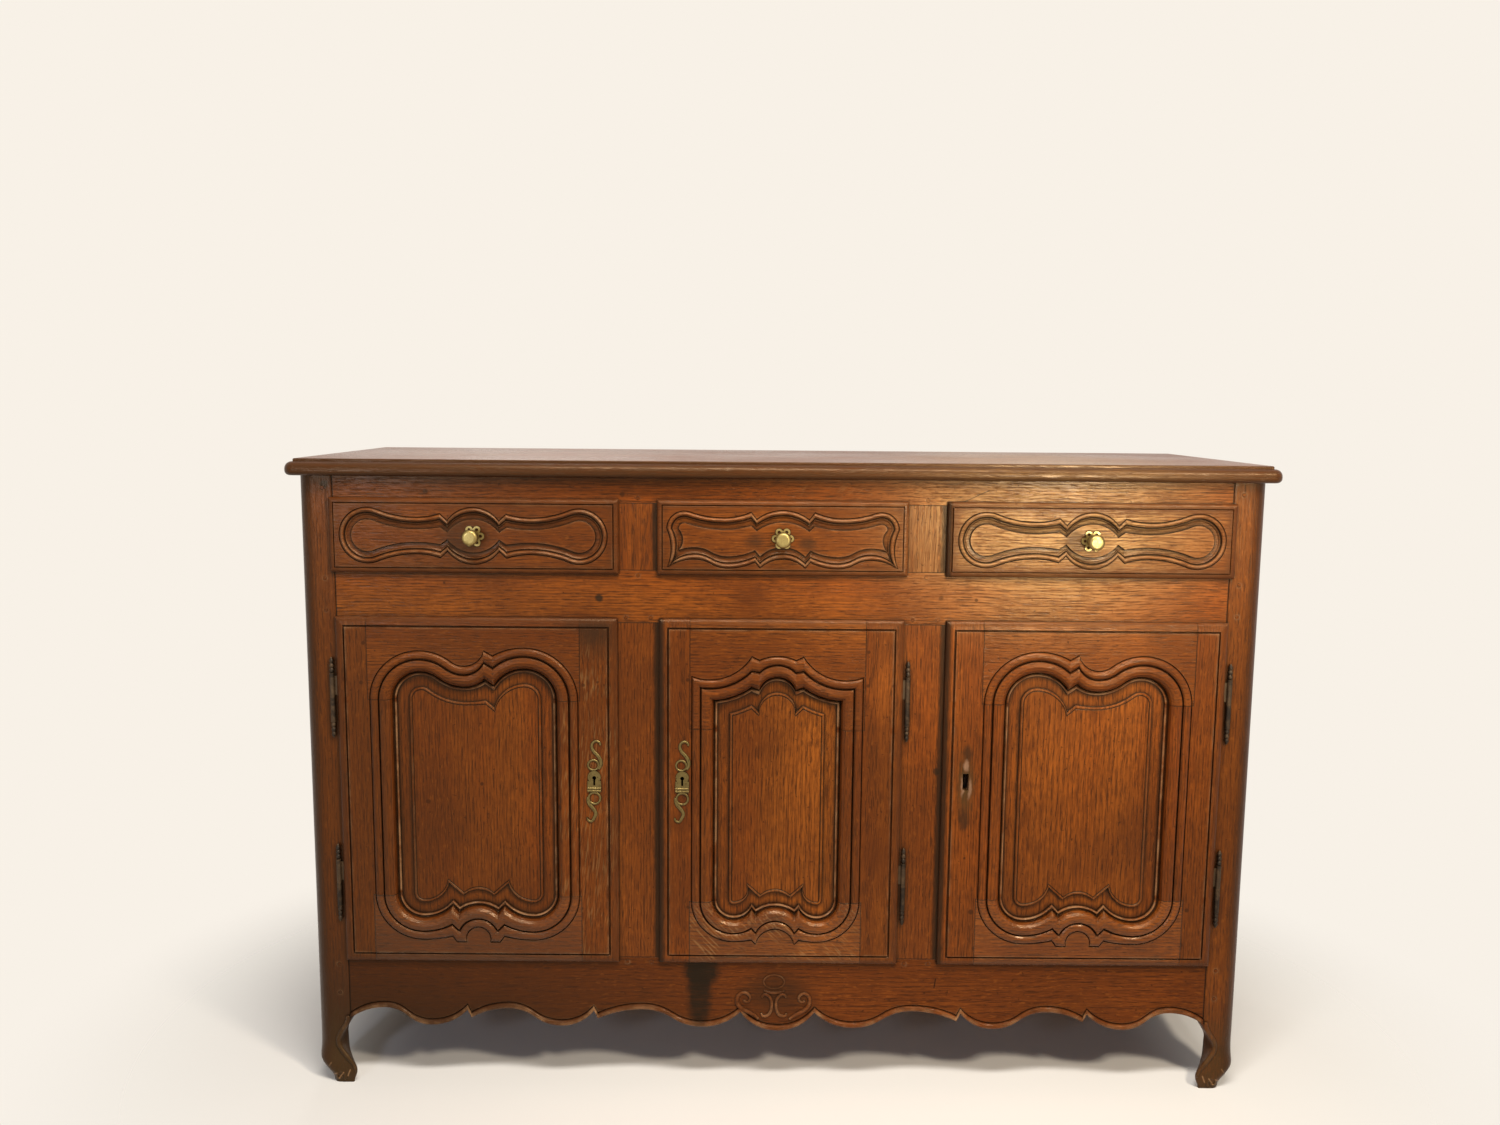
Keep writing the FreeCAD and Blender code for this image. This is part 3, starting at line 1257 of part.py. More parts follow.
# The doors themselves: the left one and the middle one, and the right one as the left one's twin.
foot_base = at("door_lip_bottom") + size("bottom_margin") + size("moulding_width")
outer_half = (OUTER_LIP[1] - OUTER_LIP[0]) / 2 - size("stile_margin") - size("moulding_width")
outer_spring = at("door_lip_top") - size("top_margin") - size("moulding_width") - size("large_hump")
outer_foot = panel_foot(outer_half, size("lobe_radius"), size("tip_offset"), size("tip_rise"),
                        foot_base, size("foot_flare"))
outer_door = door_shapes(
    OUTER_LIP,
    (-at("post_inner") + size("hinge_gap"), -at("door_bay_inner") - size("door_gap")),
    (OUTER_LIP[0] + OUTER_LIP[1]) / 2 - size("panel_shift"), outer_half,
    outer_head(outer_half, outer_spring), outer_spring, outer_foot, foot_base + size("lobe_radius"))
center_half = CENTER_LIP[1] - size("stile_margin") - size("moulding_width")
sweep_base = at("door_lip_top") - size("sweep_drop")
center_spring = sweep_base - 1.6 * (size("field_inset") + size("field_edge"))
center_foot = panel_foot(center_half, size("center_lobe_radius"), size("center_tip_offset"),
                         size("center_tip_rise"), foot_base, 0)
center_door = door_shapes(
    CENTER_LIP,
    (-at("door_bay_center") + size("door_gap"), at("door_bay_center") - size("hinge_gap")),
    -size("center_panel_shift"), center_half,
    center_head(center_half, center_spring, sweep_base), center_spring,
    center_foot, foot_base + size("center_lobe_radius"))

for name in ("top_rail", "bottom_rail", "panel"):
    left_piece = formed("left_%s_shape" % name, outer_door[name])
    node(left_piece, "left_door_" + name)
    node(formed("center_%s_shape" % name, center_door[name]), "center_door_" + name)
    node(mirrored("right_%s_shape" % name, left_piece), "right_door_" + name)
left_hinge_blank = formed("left_hinge_stile_blank", outer_door["left_stile"])
left_hinge_stile = carved("left_hinge_stile", left_hinge_blank, left_knuckles)
node(left_hinge_stile, "left_door_hinge_stile")
node(mirrored("right_hinge_stile", left_hinge_stile), "right_door_hinge_stile")
center_hinge_blank = formed("center_hinge_stile_blank", center_door["right_stile"])
node(carved("center_hinge_stile", center_hinge_blank, center_knuckles), "center_door_hinge_stile")
left_lock_blank = formed("left_lock_stile_blank", outer_door["right_stile"])
node(carved("left_lock_stile", left_lock_blank, left_key), "left_door_lock_stile")
center_lock_blank = formed("center_lock_stile_blank", center_door["left_stile"])
node(carved("center_lock_stile", center_lock_blank, center_key), "center_door_lock_stile")
RIGHT_KEY_X = "-(%s)" % LEFT_KEY_X
BARE_HALF = " Sizes.bare_slot_width / 2"
BARE_RISE = " Sizes.bare_slot_length / 2"
bare_slot = board("bare_slot", (RIGHT_KEY_X + " -" + BARE_HALF, RIGHT_KEY_X + " +" + BARE_HALF),
                  (KEY_Y[0], "Layout.door_back_y"),
                  ("Sizes.keyhole_height -" + BARE_RISE, "Sizes.keyhole_height +" + BARE_RISE))
right_lock_blank = mirrored("right_lock_stile_blank", left_lock_blank)
node(carved("right_lock_stile", right_lock_blank, bare_slot), "right_door_lock_stile")

left_front_post = carved("left_front_post", left_post_blank, top_rail_blank, middle_rail_blank, apron_blank,
                         left_top_side_rail, left_foot_side_rail, left_side_panel, left_pintles, peg_holes)
node(left_front_post, "front_left_post")
node(mirrored("right_front_post", left_front_post), "front_right_post")
right_mortise = mirrored("right_mortise", left_mortise)
node(carved("left_divider", left_divider_blank, left_mortise, center_mortise, peg_holes),
     "left_door_divider")
node(carved("right_divider", right_divider_blank, right_mortise, center_pintles, peg_holes),
     "right_door_divider")


# Inside: floor of the cupboard, one shelf, and the battens that carry them.
INSIDE_X = ("-Layout.side_inner", "Layout.side_inner")
FLOOR_Z = ("Layout.door_bottom - Sizes.board_thickness", "Layout.door_bottom")
SHELF_Z = ("Sizes.shelf_height - Sizes.board_thickness", "Sizes.shelf_height")
floor_blank = board("floor_blank", INSIDE_X, ("Layout.rail_y", "Layout.back_inner_y"), FLOOR_Z)
shelf_blank = board("shelf_blank", INSIDE_X,
                    ("Layout.front_y + Sizes.shelf_setback", "Layout.back_inner_y"), SHELF_Z)
posts = [left_post_blank, right_post_blank, back_left_post, back_right_post]
node(carved("bottom_board", floor_blank, *posts), "bottom_board")
node(carved("shelf", shelf_blank, *posts), "shelf")


def battens(name, top, end_x, front):
    """Battens under a board: along the back and both ends, and along the front where asked."""
    z = (top + " - Sizes.cleat", top)
    inner = "(%s - Sizes.cleat)" % end_x
    back_y = ("Layout.back_inner_y - Sizes.cleat", "Layout.back_inner_y")
    end_y = ("Layout.post_back_y - Sizes.cleat", back_y[0])
    left = board(name + "_left", ("-" + end_x, "-" + inner), end_y, z)
    pieces = [board(name + "_back", ("-Layout.post_inner", "Layout.post_inner"), back_y, z)]
    pieces += [left, mirrored(name + "_right", left)]
    if front:
        pieces.append(board(name + "_front", ("-" + inner, inner),
                            ("Layout.rail_y", "Layout.rail_y + Sizes.cleat"), z))
    return pieces


cleats = battens("floor_batten", FLOOR_Z[0], "Layout.post_inner", True)
cleats += battens("shelf_batten", SHELF_Z[0], "Layout.post_inner", False)
node(gathered("board_cleats", *cleats), "board_cleats")

# Runners under the drawers, and guides that keep the drawers apart.
RUNNER_Y = ("Layout.rail_y", "Layout.back_inner_y")
RUNNER_Z = ("Layout.drawer_bottom - Sizes.runner_thickness", "Layout.drawer_bottom")
GUIDE_Z = ("Layout.drawer_bottom", "Layout.drawer_bottom + Sizes.guide_height")
SLACK = "Sizes.drawer_gap - Sizes.guide_clearance"
outer_runner = joined(
    "outer_runner",
    board("outer_runner_base", ("-Layout.side_inner", "-Layout.post_inner + Sizes.runner_width"),
          RUNNER_Y, RUNNER_Z),
    board("outer_runner_guide", ("-Layout.side_inner", "-Layout.post_inner + (%s)" % SLACK),
          RUNNER_Y, GUIDE_Z))
left_runner = carved("left_runner", outer_runner, left_post_blank, back_left_post)
inner_runner = joined(
    "right_inner_runner",
    board("inner_runner_base", ("Layout.drawer_bay_center - Sizes.runner_width",
                                "Layout.drawer_bay_inner + Sizes.runner_width"), RUNNER_Y, RUNNER_Z),
    board("inner_runner_guide",
          ("Layout.drawer_bay_center - (%s)" % SLACK, "Layout.drawer_bay_inner + (%s)" % SLACK),
          ("Layout.front_y + Sizes.divider_thickness", "Layout.back_inner_y"), GUIDE_Z))
node(gathered("drawer_runners", left_runner, mirrored("right_runner", left_runner),
              inner_runner, mirrored("left_inner_runner", inner_runner)), "drawer_runners")


# Drawers: a lipped front with a carved cartouche, a box with a grooved-in bottom, and a knob.
def outer_cartouche(half):
    """Long cartouche of an outer drawer, alike above and below."""
    end = size("cartouche_end_radius")
    trough_u, trough_z = size("cartouche_trough_offset"), size("cartouche_trough")
    center = (size("cartouche_margin") + end - half, 0)
    hollow = (((center[0] + trough_u) ** 2 + trough_z ** 2 - end ** 2) / (2 * (end - trough_z)))

    def outline(d):
        upper = cartouche_top(
            d, center, end, hollow, (-trough_u, trough_z),
            (-size("cartouche_tip_offset"), size("cartouche_tip")),
            (-size("cartouche_notch_offset"), size("cartouche_notch")), size("cartouche_arch"))
        upper += mirrored_half(upper)
        return upper + [[(u, -z) for u, z in turned_round(segment)] for segment in upper[::-1]]

    return outline


def cartouche_top(d, center, end, hollow, trough, tip, notch, arch):
    """Left half of a cartouche's upper edge: round end, hollow, tip, notch and arch."""
    level = (trough[0], trough[1] + d)
    bend = (level[0], level[1] + hollow - d)
    share = (end + d) / (end + hollow)
    meet = (center[0] + share * (bend[0] - center[0]), center[1] + share * (bend[1] - center[1]))
    point = (tip[0], tip[1] + 1.15 * d)
    step = (notch[0], notch[1] + d)
    return [
        arc_about(center, (center[0] - end - d, center[1]), meet),
        arc_about(bend, meet, level),
        level_arc(level, point),
        [point, step],
        turned_round(level_arc((0, arch + d), step)),
    ]


CORNER_MITRE = 1.9


def center_cartouche(half):
    """Cartouche of the middle drawer: waisted sides and a lower edge of its own."""
    wide = half - size("center_cartouche_margin")
    rise = size("center_cartouche_rise")
    end = 0.57 * rise
    center = (end - wide, rise - end)
    trough = (-0.54 * wide, 0.69 * rise)
    drop = trough[1] - center[1]
    hollow = ((trough[0] - center[0]) ** 2 + drop ** 2 - end ** 2) / (2 * (end - drop))

    def outline(d):
        upper = cartouche_top(d, center, end, hollow, trough, (-0.287 * wide, 0.93 * rise),
                              (-0.238 * wide, 0.63 * rise), 1.06 * rise)
        corner = (-0.995 * wide - d, -1.14 * rise - (d if d > 0 else CORNER_MITRE * d))
        waist = (-0.96 * wide - d, (center[1] + corner[1]) / 2)
        hump = (-0.8 * wide, -0.74 * rise - d)
        low = (-0.5 * wide, -1.17 * rise - d)
        point = (-0.25 * wide, -0.86 * rise - d)
        step = (-0.205 * wide, -1.16 * rise - d)
        lower = [[upper[0][0], waist, corner], turned_round(level_arc(hump, corner))]
        lower += [turned_round(segment) for segment in wave(low, hump)[::-1]]
        lower += [level_arc(low, point), [point, step]]
        lower.append(turned_round(level_arc((0, -0.71 * rise - d), step)))
        lower += mirrored_half(lower)
        upper += mirrored_half(upper)
        return upper + [turned_round(segment) for segment in lower[::-1]]

    return outline


def drawer_front(opening, cartouche):
    """Lipped drawer front with its cartouche cut in."""
    face, back = at("drawer_face_y"), at("lip_back_y")
    lap = size("drawer_lip_overlap")
    gap = size("drawer_gap")
    lip_x = (opening[0] - lap, opening[1] + lap)
    lip_z = (at("drawer_bottom") - lap, at("drawer_top") + lap)
    lips = lip_levels(lip_x, lip_z, size("drawer_lip_width"), face, back)
    line = cartouche((lip_x[1] - lip_x[0]) / 2)
    wide, deep, quirk = size("cartouche_half_width"), size("cartouche_depth"), size("quirk_depth")
    inner = wide - size("cartouche_bead") - quirk
    profile = [(wide, 0), (wide - 0.5 * quirk, 0.7 * quirk)]
    profile += roll(wide - quirk, inner, 0, size("cartouche_bead_rise"), (25, 90, 155))
    profile += [(inner - 0.5 * quirk, 0.6 * deep), (inner - 1.5 * quirk, 0.3 * deep),
                (-0.3 * wide, 0.85 * deep), (-0.88 * wide, deep), (-wide, 0)]
    middle = (lip_x[0] + lip_x[1]) / 2
    rings = [edges_of(moved(line(offset), middle, at("drawer_middle")), face + depth)
             for offset, depth in profile]
    faces = bands(lips) + bands(rings)
    faces.append(Part.Face(Part.Wire(lips[0])))
    faces.append(holed(lips[-1], rings[0]))
    faces.append(Part.Face(Part.Wire(rings[-1])))
    rear = block((opening[0] + gap, opening[1] - gap), (back, at("drawer_back_y")),
                 (at("drawer_floor"), at("drawer_top") - gap))
    return sewn(faces).fuse(rear).removeSplitter()


def drawer(name, opening_x, opening, cartouche):
    """Front, box, bottom and knob of one drawer, between the sides of its opening.

    The sides are given as expressions for the straight boards and as places for the carved front."""
    low, high = opening_x
    middle = "((%s) + (%s)) / 2" % opening_x
    side = "Sizes.drawer_side_thickness"
    box_y = ("Layout.drawer_back_y", "Layout.drawer_box_y")
    box_z = ("Layout.drawer_floor", "Layout.drawer_floor + Sizes.drawer_side_height")
    outer = (low + " + Sizes.drawer_gap", high + " - Sizes.drawer_gap")
    inner = ("%s + %s" % (outer[0], side), "%s - %s" % (outer[1], side))
    panel_z = ("Layout.drawer_panel", "Layout.drawer_panel + Sizes.drawer_bottom_thickness")
    panel = board(name + "_bottom",
                  (inner[0] + " - Sizes.drawer_groove", inner[1] + " + Sizes.drawer_groove"),
                  (box_y[0] + " - Sizes.drawer_groove", box_y[1]), panel_z)
    sides = []
    for place, x in (("left", (outer[0], inner[0])), ("right", (inner[1], outer[1]))):
        blank = board("%s_%s_side_blank" % (name, place), x, box_y, box_z)
        sides.append(carved("%s_%s_side" % (name, place), blank, panel))
    rear = board(name + "_rear", inner, (box_y[1] + " - " + side, box_y[1]), (panel_z[1], box_z[1]))
    bore_y = ("Layout.drawer_face_y - Sizes.nut_thickness",
              "Layout.drawer_back_y + 2 * Sizes.nut_thickness")
    bore = dowel(name + "_bore", "Sizes.shank_radius + Sizes.shank_clearance", middle, bore_y,
                 "Layout.drawer_middle")
    blank = formed(name + "_front_blank", drawer_front(opening, cartouche))
    front = carved(name + "_front", blank, panel, bore)
    return front, gathered(name + "_box", rear, *sides), panel, knob(name, middle, bore)


def knob(name, middle, bore):
    """Turned knob on a pierced six-lobed rosette, held by a nut inside the drawer."""
    reach = "(Sizes.knob_reach - Sizes.rosette_thickness)"
    shank = ("-(Sizes.rosette_thickness + Sizes.drawer_proud + Sizes.drawer_inner_depth"
             " + Sizes.nut_thickness * 1.4)")
    body = doc.addObject("PartDesign::Body", name + "_knob_body")
    outline = outline_sketch(body, name + "_knob_outline", "XZ_Plane", [
        ("0", shank),
        ("Sizes.shank_radius", shank),
        ("Sizes.shank_radius", "0"),
        ("Sizes.stem_foot_radius", "0"),
        ("Sizes.stem_foot_radius", "0.08 * " + reach),
        ("Sizes.stem_radius", "0.22 * " + reach),
        ("Sizes.stem_radius", "0.48 * " + reach),
        ("0.76 * Sizes.knob_radius", "0.64 * " + reach),
        ("Sizes.knob_radius", "0.82 * " + reach),
        ("0.7 * Sizes.knob_radius", reach),
        ("0", reach),
    ])
    turning = body.newObject("PartDesign::Revolution", name + "_knob_turning")
    turning.Profile = outline
    turning.ReferenceAxis = (outline, ["V_Axis"])
    turning.Angle = 360
    rim = size("knob_radius")
    crown = size("knob_reach") - size("rosette_thickness")
    rounded(body, name + "_knob_rim", lambda box: box.XLength > 1.99 * rim, "Sizes.knob_rim")
    rounded(body, name + "_knob_crown", lambda box: box.ZMin > crown - 0.01, "Sizes.knob_rim")
    body.Placement = Placement(Vector(0, 0, 0), Rotation(Vector(1, 0, 0), 90))
    for axis, place in (("x", middle), ("y", "Layout.drawer_face_y - Sizes.rosette_thickness"),
                        ("z", "Layout.drawer_middle")):
        body.setExpression("Placement.Base." + axis, place)
    plate_y = ("Layout.drawer_face_y - Sizes.rosette_thickness", "Layout.drawer_face_y")
    discs = [dowel(name + "_rosette_disc", "Sizes.rosette_disc_radius", middle, plate_y,
                   "Layout.drawer_middle")]
    holes = []
    for index in range(6):
        turn = "%d deg" % (60 * index)
        x = "%s + Sizes.rosette_disc_radius * cos(%s)" % (middle, turn)
        z = "Layout.drawer_middle + Sizes.rosette_disc_radius * sin(%s)" % turn
        discs.append(dowel("%s_lobe%d" % (name, index), "Sizes.rosette_lobe_radius", x, plate_y, z))
        holes.append(dowel("%s_eye%d" % (name, index), "Sizes.rosette_hole_radius", x, plate_y, z))
    eyes = gathered(name + "_eyes", *holes)
    rosette = carved(name + "_rosette", joined(name + "_rosette_blank", *discs), bore, eyes)
    half = "Sizes.nut_width / 2"
    nut_blank = board(name + "_nut_blank", ("%s - %s" % (middle, half), "%s + %s" % (middle, half)),
                      ("Layout.drawer_back_y", "Layout.drawer_back_y + Sizes.nut_thickness"),
                      ("Layout.drawer_middle - " + half, "Layout.drawer_middle + " + half))
    return gathered(name + "_knob", body, rosette, carved(name + "_nut", nut_blank, bore))


left_drawer = drawer("left_drawer", ("-Layout.post_inner", "-Layout.drawer_bay_inner"),
                     (-at("post_inner"), -at("drawer_bay_inner")), outer_cartouche)
center_drawer = drawer("center_drawer", ("-Layout.drawer_bay_center", "Layout.drawer_bay_center"),
                       (-at("drawer_bay_center"), at("drawer_bay_center")), center_cartouche)
for piece, name in zip(left_drawer, ("front", "box", "bottom", "knob")):
    node(piece, "left_drawer_" + name)
    node(mirrored("right_drawer_" + name, piece), "right_drawer_" + name)
for piece, name in zip(center_drawer, ("front", "box", "bottom", "knob")):
    node(piece, "center_drawer_" + name)


# Key plates of the left and middle doors: scrolls and rings about a keyhole, in cast brass.
# Scrolls above and below the keyhole as (u, z, half width), and rings as (u, z, radius, band),
# drawn for a plate of the height PLATE_HEIGHT.
PLATE_HEIGHT = 150
PLATE_SCROLLS = [
    [(7.5, 19, 2.2), (11.4, 30, 3.2), (6, 42, 3.4), (-1, 50, 3.2), (-4, 58, 3), (-2, 64.5, 2.8),
     (4, 67.5, 2.4), (9.5, 64.5, 2.2), (10, 60.5, 1.8)],
    [(-11, -31, 2), (-9, -43, 3.2), (-2, -52, 3.4), (2, -60, 3.2), (-1, -68, 3), (-6, -74, 2.8),
     (-11, -72, 2.2), (-12, -67, 1.8)],
]
PLATE_RINGS = [(-1.6, 25.4, 10.8, 4), (0, -33, 12, 4.2)]
PLATE_SHIELD = {"height": 4.7, "radius": 11, "half": 11.5, "top": -2, "foot": -22, "collar": 2.2}


def key_plate(x):
    """Key plate with its rounded scrolls and rings; the keyhole is cut out afterwards."""
    unit = size("escutcheon_height") / PLATE_HEIGHT
    thick = size("escutcheon_thickness")
    forward = Vector(0, 1, 0)
    half, foot = PLATE_SHIELD["half"] * unit, PLATE_SHIELD["foot"] * unit
    shape = Part.makeCylinder(PLATE_SHIELD["radius"] * unit, thick,
                              Vector(0, -thick, PLATE_SHIELD["height"] * unit), forward)
    shape = shape.fuse(block((-half, half), (-thick, 0), (foot, PLATE_SHIELD["top"] * unit)))
    collar = PLATE_SHIELD["collar"] * unit
    pieces = [Part.makeCylinder(collar, 2 * half, Vector(-half, -0.5 * thick, foot + rise * collar),
                                Vector(1, 0, 0)) for rise in (1, 3)]
    for u, z, radius, band in PLATE_RINGS:
        pieces.append(Part.makeTorus((radius - band / 2) * unit, band / 2 * unit,
                                     Vector(u * unit, 0, z * unit), forward))
    for line in PLATE_SCROLLS:
        pieces.append(scroll([(u * unit, z * unit, wide * unit) for u, z, wide in line], 0, thick))
    shape = shape.multiFuse(pieces)
    reach = size("escutcheon_height")
    shape = shape.common(block((-reach, reach), (-reach, 0), (-reach, reach))).removeSplitter()
    shape.translate(Vector(x, at("door_face_y"), size("keyhole_height")))
    return shape


for name, edge, hole in (("left", OUTER_LIP[1] - size("keyhole_inset"), left_key),
                         ("center", CENTER_LIP[0] + size("keyhole_inset"), center_key)):
    plate = formed(name + "_key_plate", key_plate(edge))
    node(carved(name + "_escutcheon", plate, hole), name + "_door_escutcheon")


# Every piece must stand before any file is written.
doc.recompute()
for item in doc.Objects:
    if "Invalid" in item.State or "Error" in item.State:
        raise RuntimeError("not built: " + item.Name)
for piece in NODES:
    if piece.Shape.isNull() or not piece.Shape.isValid():
        raise RuntimeError("bad shape: " + piece.Label)
os.makedirs("parts", exist_ok=True)
for piece in NODES:
    piece.Shape.exportStep("parts/%s.step" % piece.Label)
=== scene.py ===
import math
import random

import bpy
from mathutils import Matrix, Vector

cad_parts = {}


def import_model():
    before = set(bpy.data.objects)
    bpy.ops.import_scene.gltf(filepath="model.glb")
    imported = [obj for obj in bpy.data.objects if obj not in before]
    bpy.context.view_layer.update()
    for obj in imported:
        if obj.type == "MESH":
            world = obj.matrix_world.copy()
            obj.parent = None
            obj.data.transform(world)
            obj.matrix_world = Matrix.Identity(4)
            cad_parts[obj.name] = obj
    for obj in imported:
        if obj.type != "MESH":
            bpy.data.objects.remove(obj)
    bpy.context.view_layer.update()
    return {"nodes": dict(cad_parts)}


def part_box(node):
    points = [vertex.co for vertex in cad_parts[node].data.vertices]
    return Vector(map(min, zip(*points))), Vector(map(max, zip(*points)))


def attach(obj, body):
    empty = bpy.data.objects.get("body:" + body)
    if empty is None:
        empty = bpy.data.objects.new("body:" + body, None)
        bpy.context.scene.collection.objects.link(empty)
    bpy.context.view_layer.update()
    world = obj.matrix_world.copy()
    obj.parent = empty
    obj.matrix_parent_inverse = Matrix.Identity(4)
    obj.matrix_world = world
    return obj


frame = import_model()
nodes = frame["nodes"]
scene = bpy.context.scene

# Colours, linear. Oak runs from the black of old wax in the hollows to bare worn edges.
# black of old wax in hollows and joints, also the colour of painted shadows beside lips
WAX_BLACK_AND_SHADOW = (0.008, 0.0034, 0.0016, 1)
PORE = (0.045, 0.0110, 0.0024, 1)
OAK_DARK = (0.100, 0.0225, 0.0037, 1)
OAK_MID = (0.262, 0.0570, 0.0064, 1)
OAK_GOLD = (0.385, 0.1080, 0.0135, 1)
# gold of the rays of quartered wood, also the colour of the painted glare at the upper right
OAK_RAYS_AND_GLARE = (0.490, 0.2700, 0.0950, 1)
OAK_WORN = (0.430, 0.2300, 0.1050, 1)
# dark brown of stains, also the colour of painted shade and shadow
SMOKE_AND_SHADE = (0.036, 0.0125, 0.0046, 1)
# dark brown along the front nose of the top
NOSE_DARK = (0.046, 0.0160, 0.0046, 1)
FOOT_DIRT = (0.046, 0.0240, 0.0080, 1)
LIP_DIRT = (0.075, 0.0200, 0.0046, 1)
STAIN = (0.010, 0.0062, 0.0036, 1)
GHOST = (0.060, 0.0300, 0.0090, 1)
RAW_OAK = (0.300, 0.170, 0.0780, 1)
RAW_DARK = (0.170, 0.085, 0.0360, 1)
RAW_PORE = (0.085, 0.040, 0.0170, 1)
BARE_CHIP = (0.400, 0.220, 0.1300, 1)
BRASS = (0.370, 0.275, 0.0980, 1)
BRASS_DULL = (0.150, 0.105, 0.0380, 1)
BRASS_BROWN = (0.030, 0.019, 0.0075, 1)
IRON = (0.040, 0.033, 0.0280, 1)
IRON_RUST = (0.085, 0.042, 0.0220, 1)
HINGE = (0.020, 0.0118, 0.0054, 1)
HINGE_RUBBED = (0.140, 0.080, 0.0360, 1)
CREAM = (0.939, 0.880, 0.799, 1)
WARM_WHITE = (1.0, 0.95, 0.88)
FLOOR_PALE = (0.93, 0.91, 0.88, 1)
FLOOR_PALER = (0.965, 0.94, 0.91, 1)

SIDES = ("left", "center", "right")


# Helpers for node materials

class Graph:
    """Adds nodes to a material or world and links or sets their inputs."""

    def __init__(self, owner):
        owner.use_nodes = True
        self.tree = owner.node_tree
        self.tree.nodes.clear()

    def add(self, kind, inputs=None, **settings):
        made = self.tree.nodes.new(kind)
        for key, value in settings.items():
            setattr(made, key, value)
        for key, value in (inputs or {}).items():
            self.feed(made.inputs[key], value)
        return made

    def feed(self, socket, value):
        if isinstance(value, bpy.types.NodeSocket):
            self.tree.links.new(value, socket)
        else:
            socket.default_value = value

    def math(self, operation, a, b=None, clamp=False):
        made = self.add("ShaderNodeMath", {0: a}, operation=operation, use_clamp=clamp)
        if b is not None:
            self.feed(made.inputs[1], b)
        return made.outputs[0]

    def vector(self, operation, a, b):
        return self.add("ShaderNodeVectorMath", {0: a, 1: b}, operation=operation).outputs[0]

    def ramp(self, value, low, high, to_low=0.0, to_high=1.0):
        made = self.add(
            "ShaderNodeMapRange",
            {"Value": value, "From Min": low, "From Max": high, "To Min": to_low, "To Max": to_high},
            interpolation_type="SMOOTHSTEP",
        )
        return made.outputs[0]

    def mix(self, factor, first, second):
        made = self.add("ShaderNodeMix", data_type="RGBA")
        self.feed(made.inputs[0], factor)
        self.feed(made.inputs[6], first)
        self.feed(made.inputs[7], second)
        return made.outputs[2]

    def noise(self, coords, scale, detail=3.0, rough=0.55, distortion=0.0):
        made = self.add(
            "ShaderNodeTexNoise",
            {"Vector": coords, "Scale": scale, "Detail": detail, "Roughness": rough,
             "Distortion": distortion},
        )
        return made.outputs[0]

    def length(self, vector):
        return self.add("ShaderNodeVectorMath", {0: vector}, operation="LENGTH").outputs[1]

    def shake(self, coords, source, scale, detail, amount):
        """coords pushed about by a noise over source, by up to half of amount."""
        noise = self.add("ShaderNodeTexNoise", {"Vector": source, "Scale": scale, "Detail": detail})
        push = self.vector("SUBTRACT", noise.outputs["Color"], (0.5,) * 3)
        return self.vector("ADD", coords, self.vector("MULTIPLY", push, (amount,) * 3))

    def blob(self, coords, centre, radii, edge=0.45):
        """1 inside an ellipsoid around centre, falling softly to 0 at its radii."""
        away = self.vector("SUBTRACT", coords, centre)
        scaled = self.vector("MULTIPLY", away, tuple(1 / r for r in radii))
        return self.ramp(self.length(scaled), edge, 1.0, 1.0, 0.0)

    def line(self, coords, start, end, half):
        """1 on a straight line over the front, given as (x, z) to (x, z), and 0 beyond its half width."""
        run = (end[0] - start[0], 0, end[1] - start[1])
        away = self.vector("SUBTRACT", coords, (start[0], 0, start[1]))
        dot_product = self.add("ShaderNodeVectorMath", {0: away, 1: run}, operation="DOT_PRODUCT")
        share = self.math("DIVIDE", dot_product.outputs["Value"], run[0] ** 2 + run[2] ** 2, clamp=True)
        near = self.add("ShaderNodeVectorMath", {0: run, "Scale": share}, operation="SCALE").outputs[0]
        gap = self.vector("MULTIPLY", self.vector("SUBTRACT", away, near), (1, 0, 1))
        return self.ramp(self.length(gap), 0.3 * half, half, 1.0, 0.0)


def new_material(name):
    material = bpy.data.materials.new(name)
    return material, Graph(material)


# Oak

GRAIN_SQUASH = 0.05
STRETCH = {"x": (GRAIN_SQUASH, 1, 1), "y": (1, GRAIN_SQUASH, 1), "z": (1, 1, GRAIN_SQUASH)}
AXES = {"x": 0, "y": 1, "z": 2}
WAX_TINT = (1.0, 0.66, 0.36, 1)
SHINE_PLAIN, SHINE_RAW = 0.28, 0.12
REACH_PLAIN = 0.014
SOIL_PLAIN = (0.38, 0.94)
COAT_PLAIN, COAT_ROUGHNESS = 0.04, 0.14
CREST_REACH = 0.006
WORN_SHARE = 0.66
SEAM_DARK = (0.0004, 0.0024)
SEAM_UNWORN = (0.0030, 0.0080)
EASED_EDGE = 0.0012

# Painted highlight: where the front is lightened towards gold for the glare of light from the upper right:
# middle and radii
PAINTED_GLARE = ((0.45, -0.24, 1.01), (0.36, 0.9, 0.26))
# Painted shade: where the front is darkened over the left and low down, away from the light: middle, radii
# and strength
PAINTED_SHADE_BLOBS = [((-1.00, -0.24, 0.30), (1.05, 0.9, 1.10), 0.36), ((-0.70, -0.24, 0.09), (0.85, 0.5, 0.28), 0.97)]


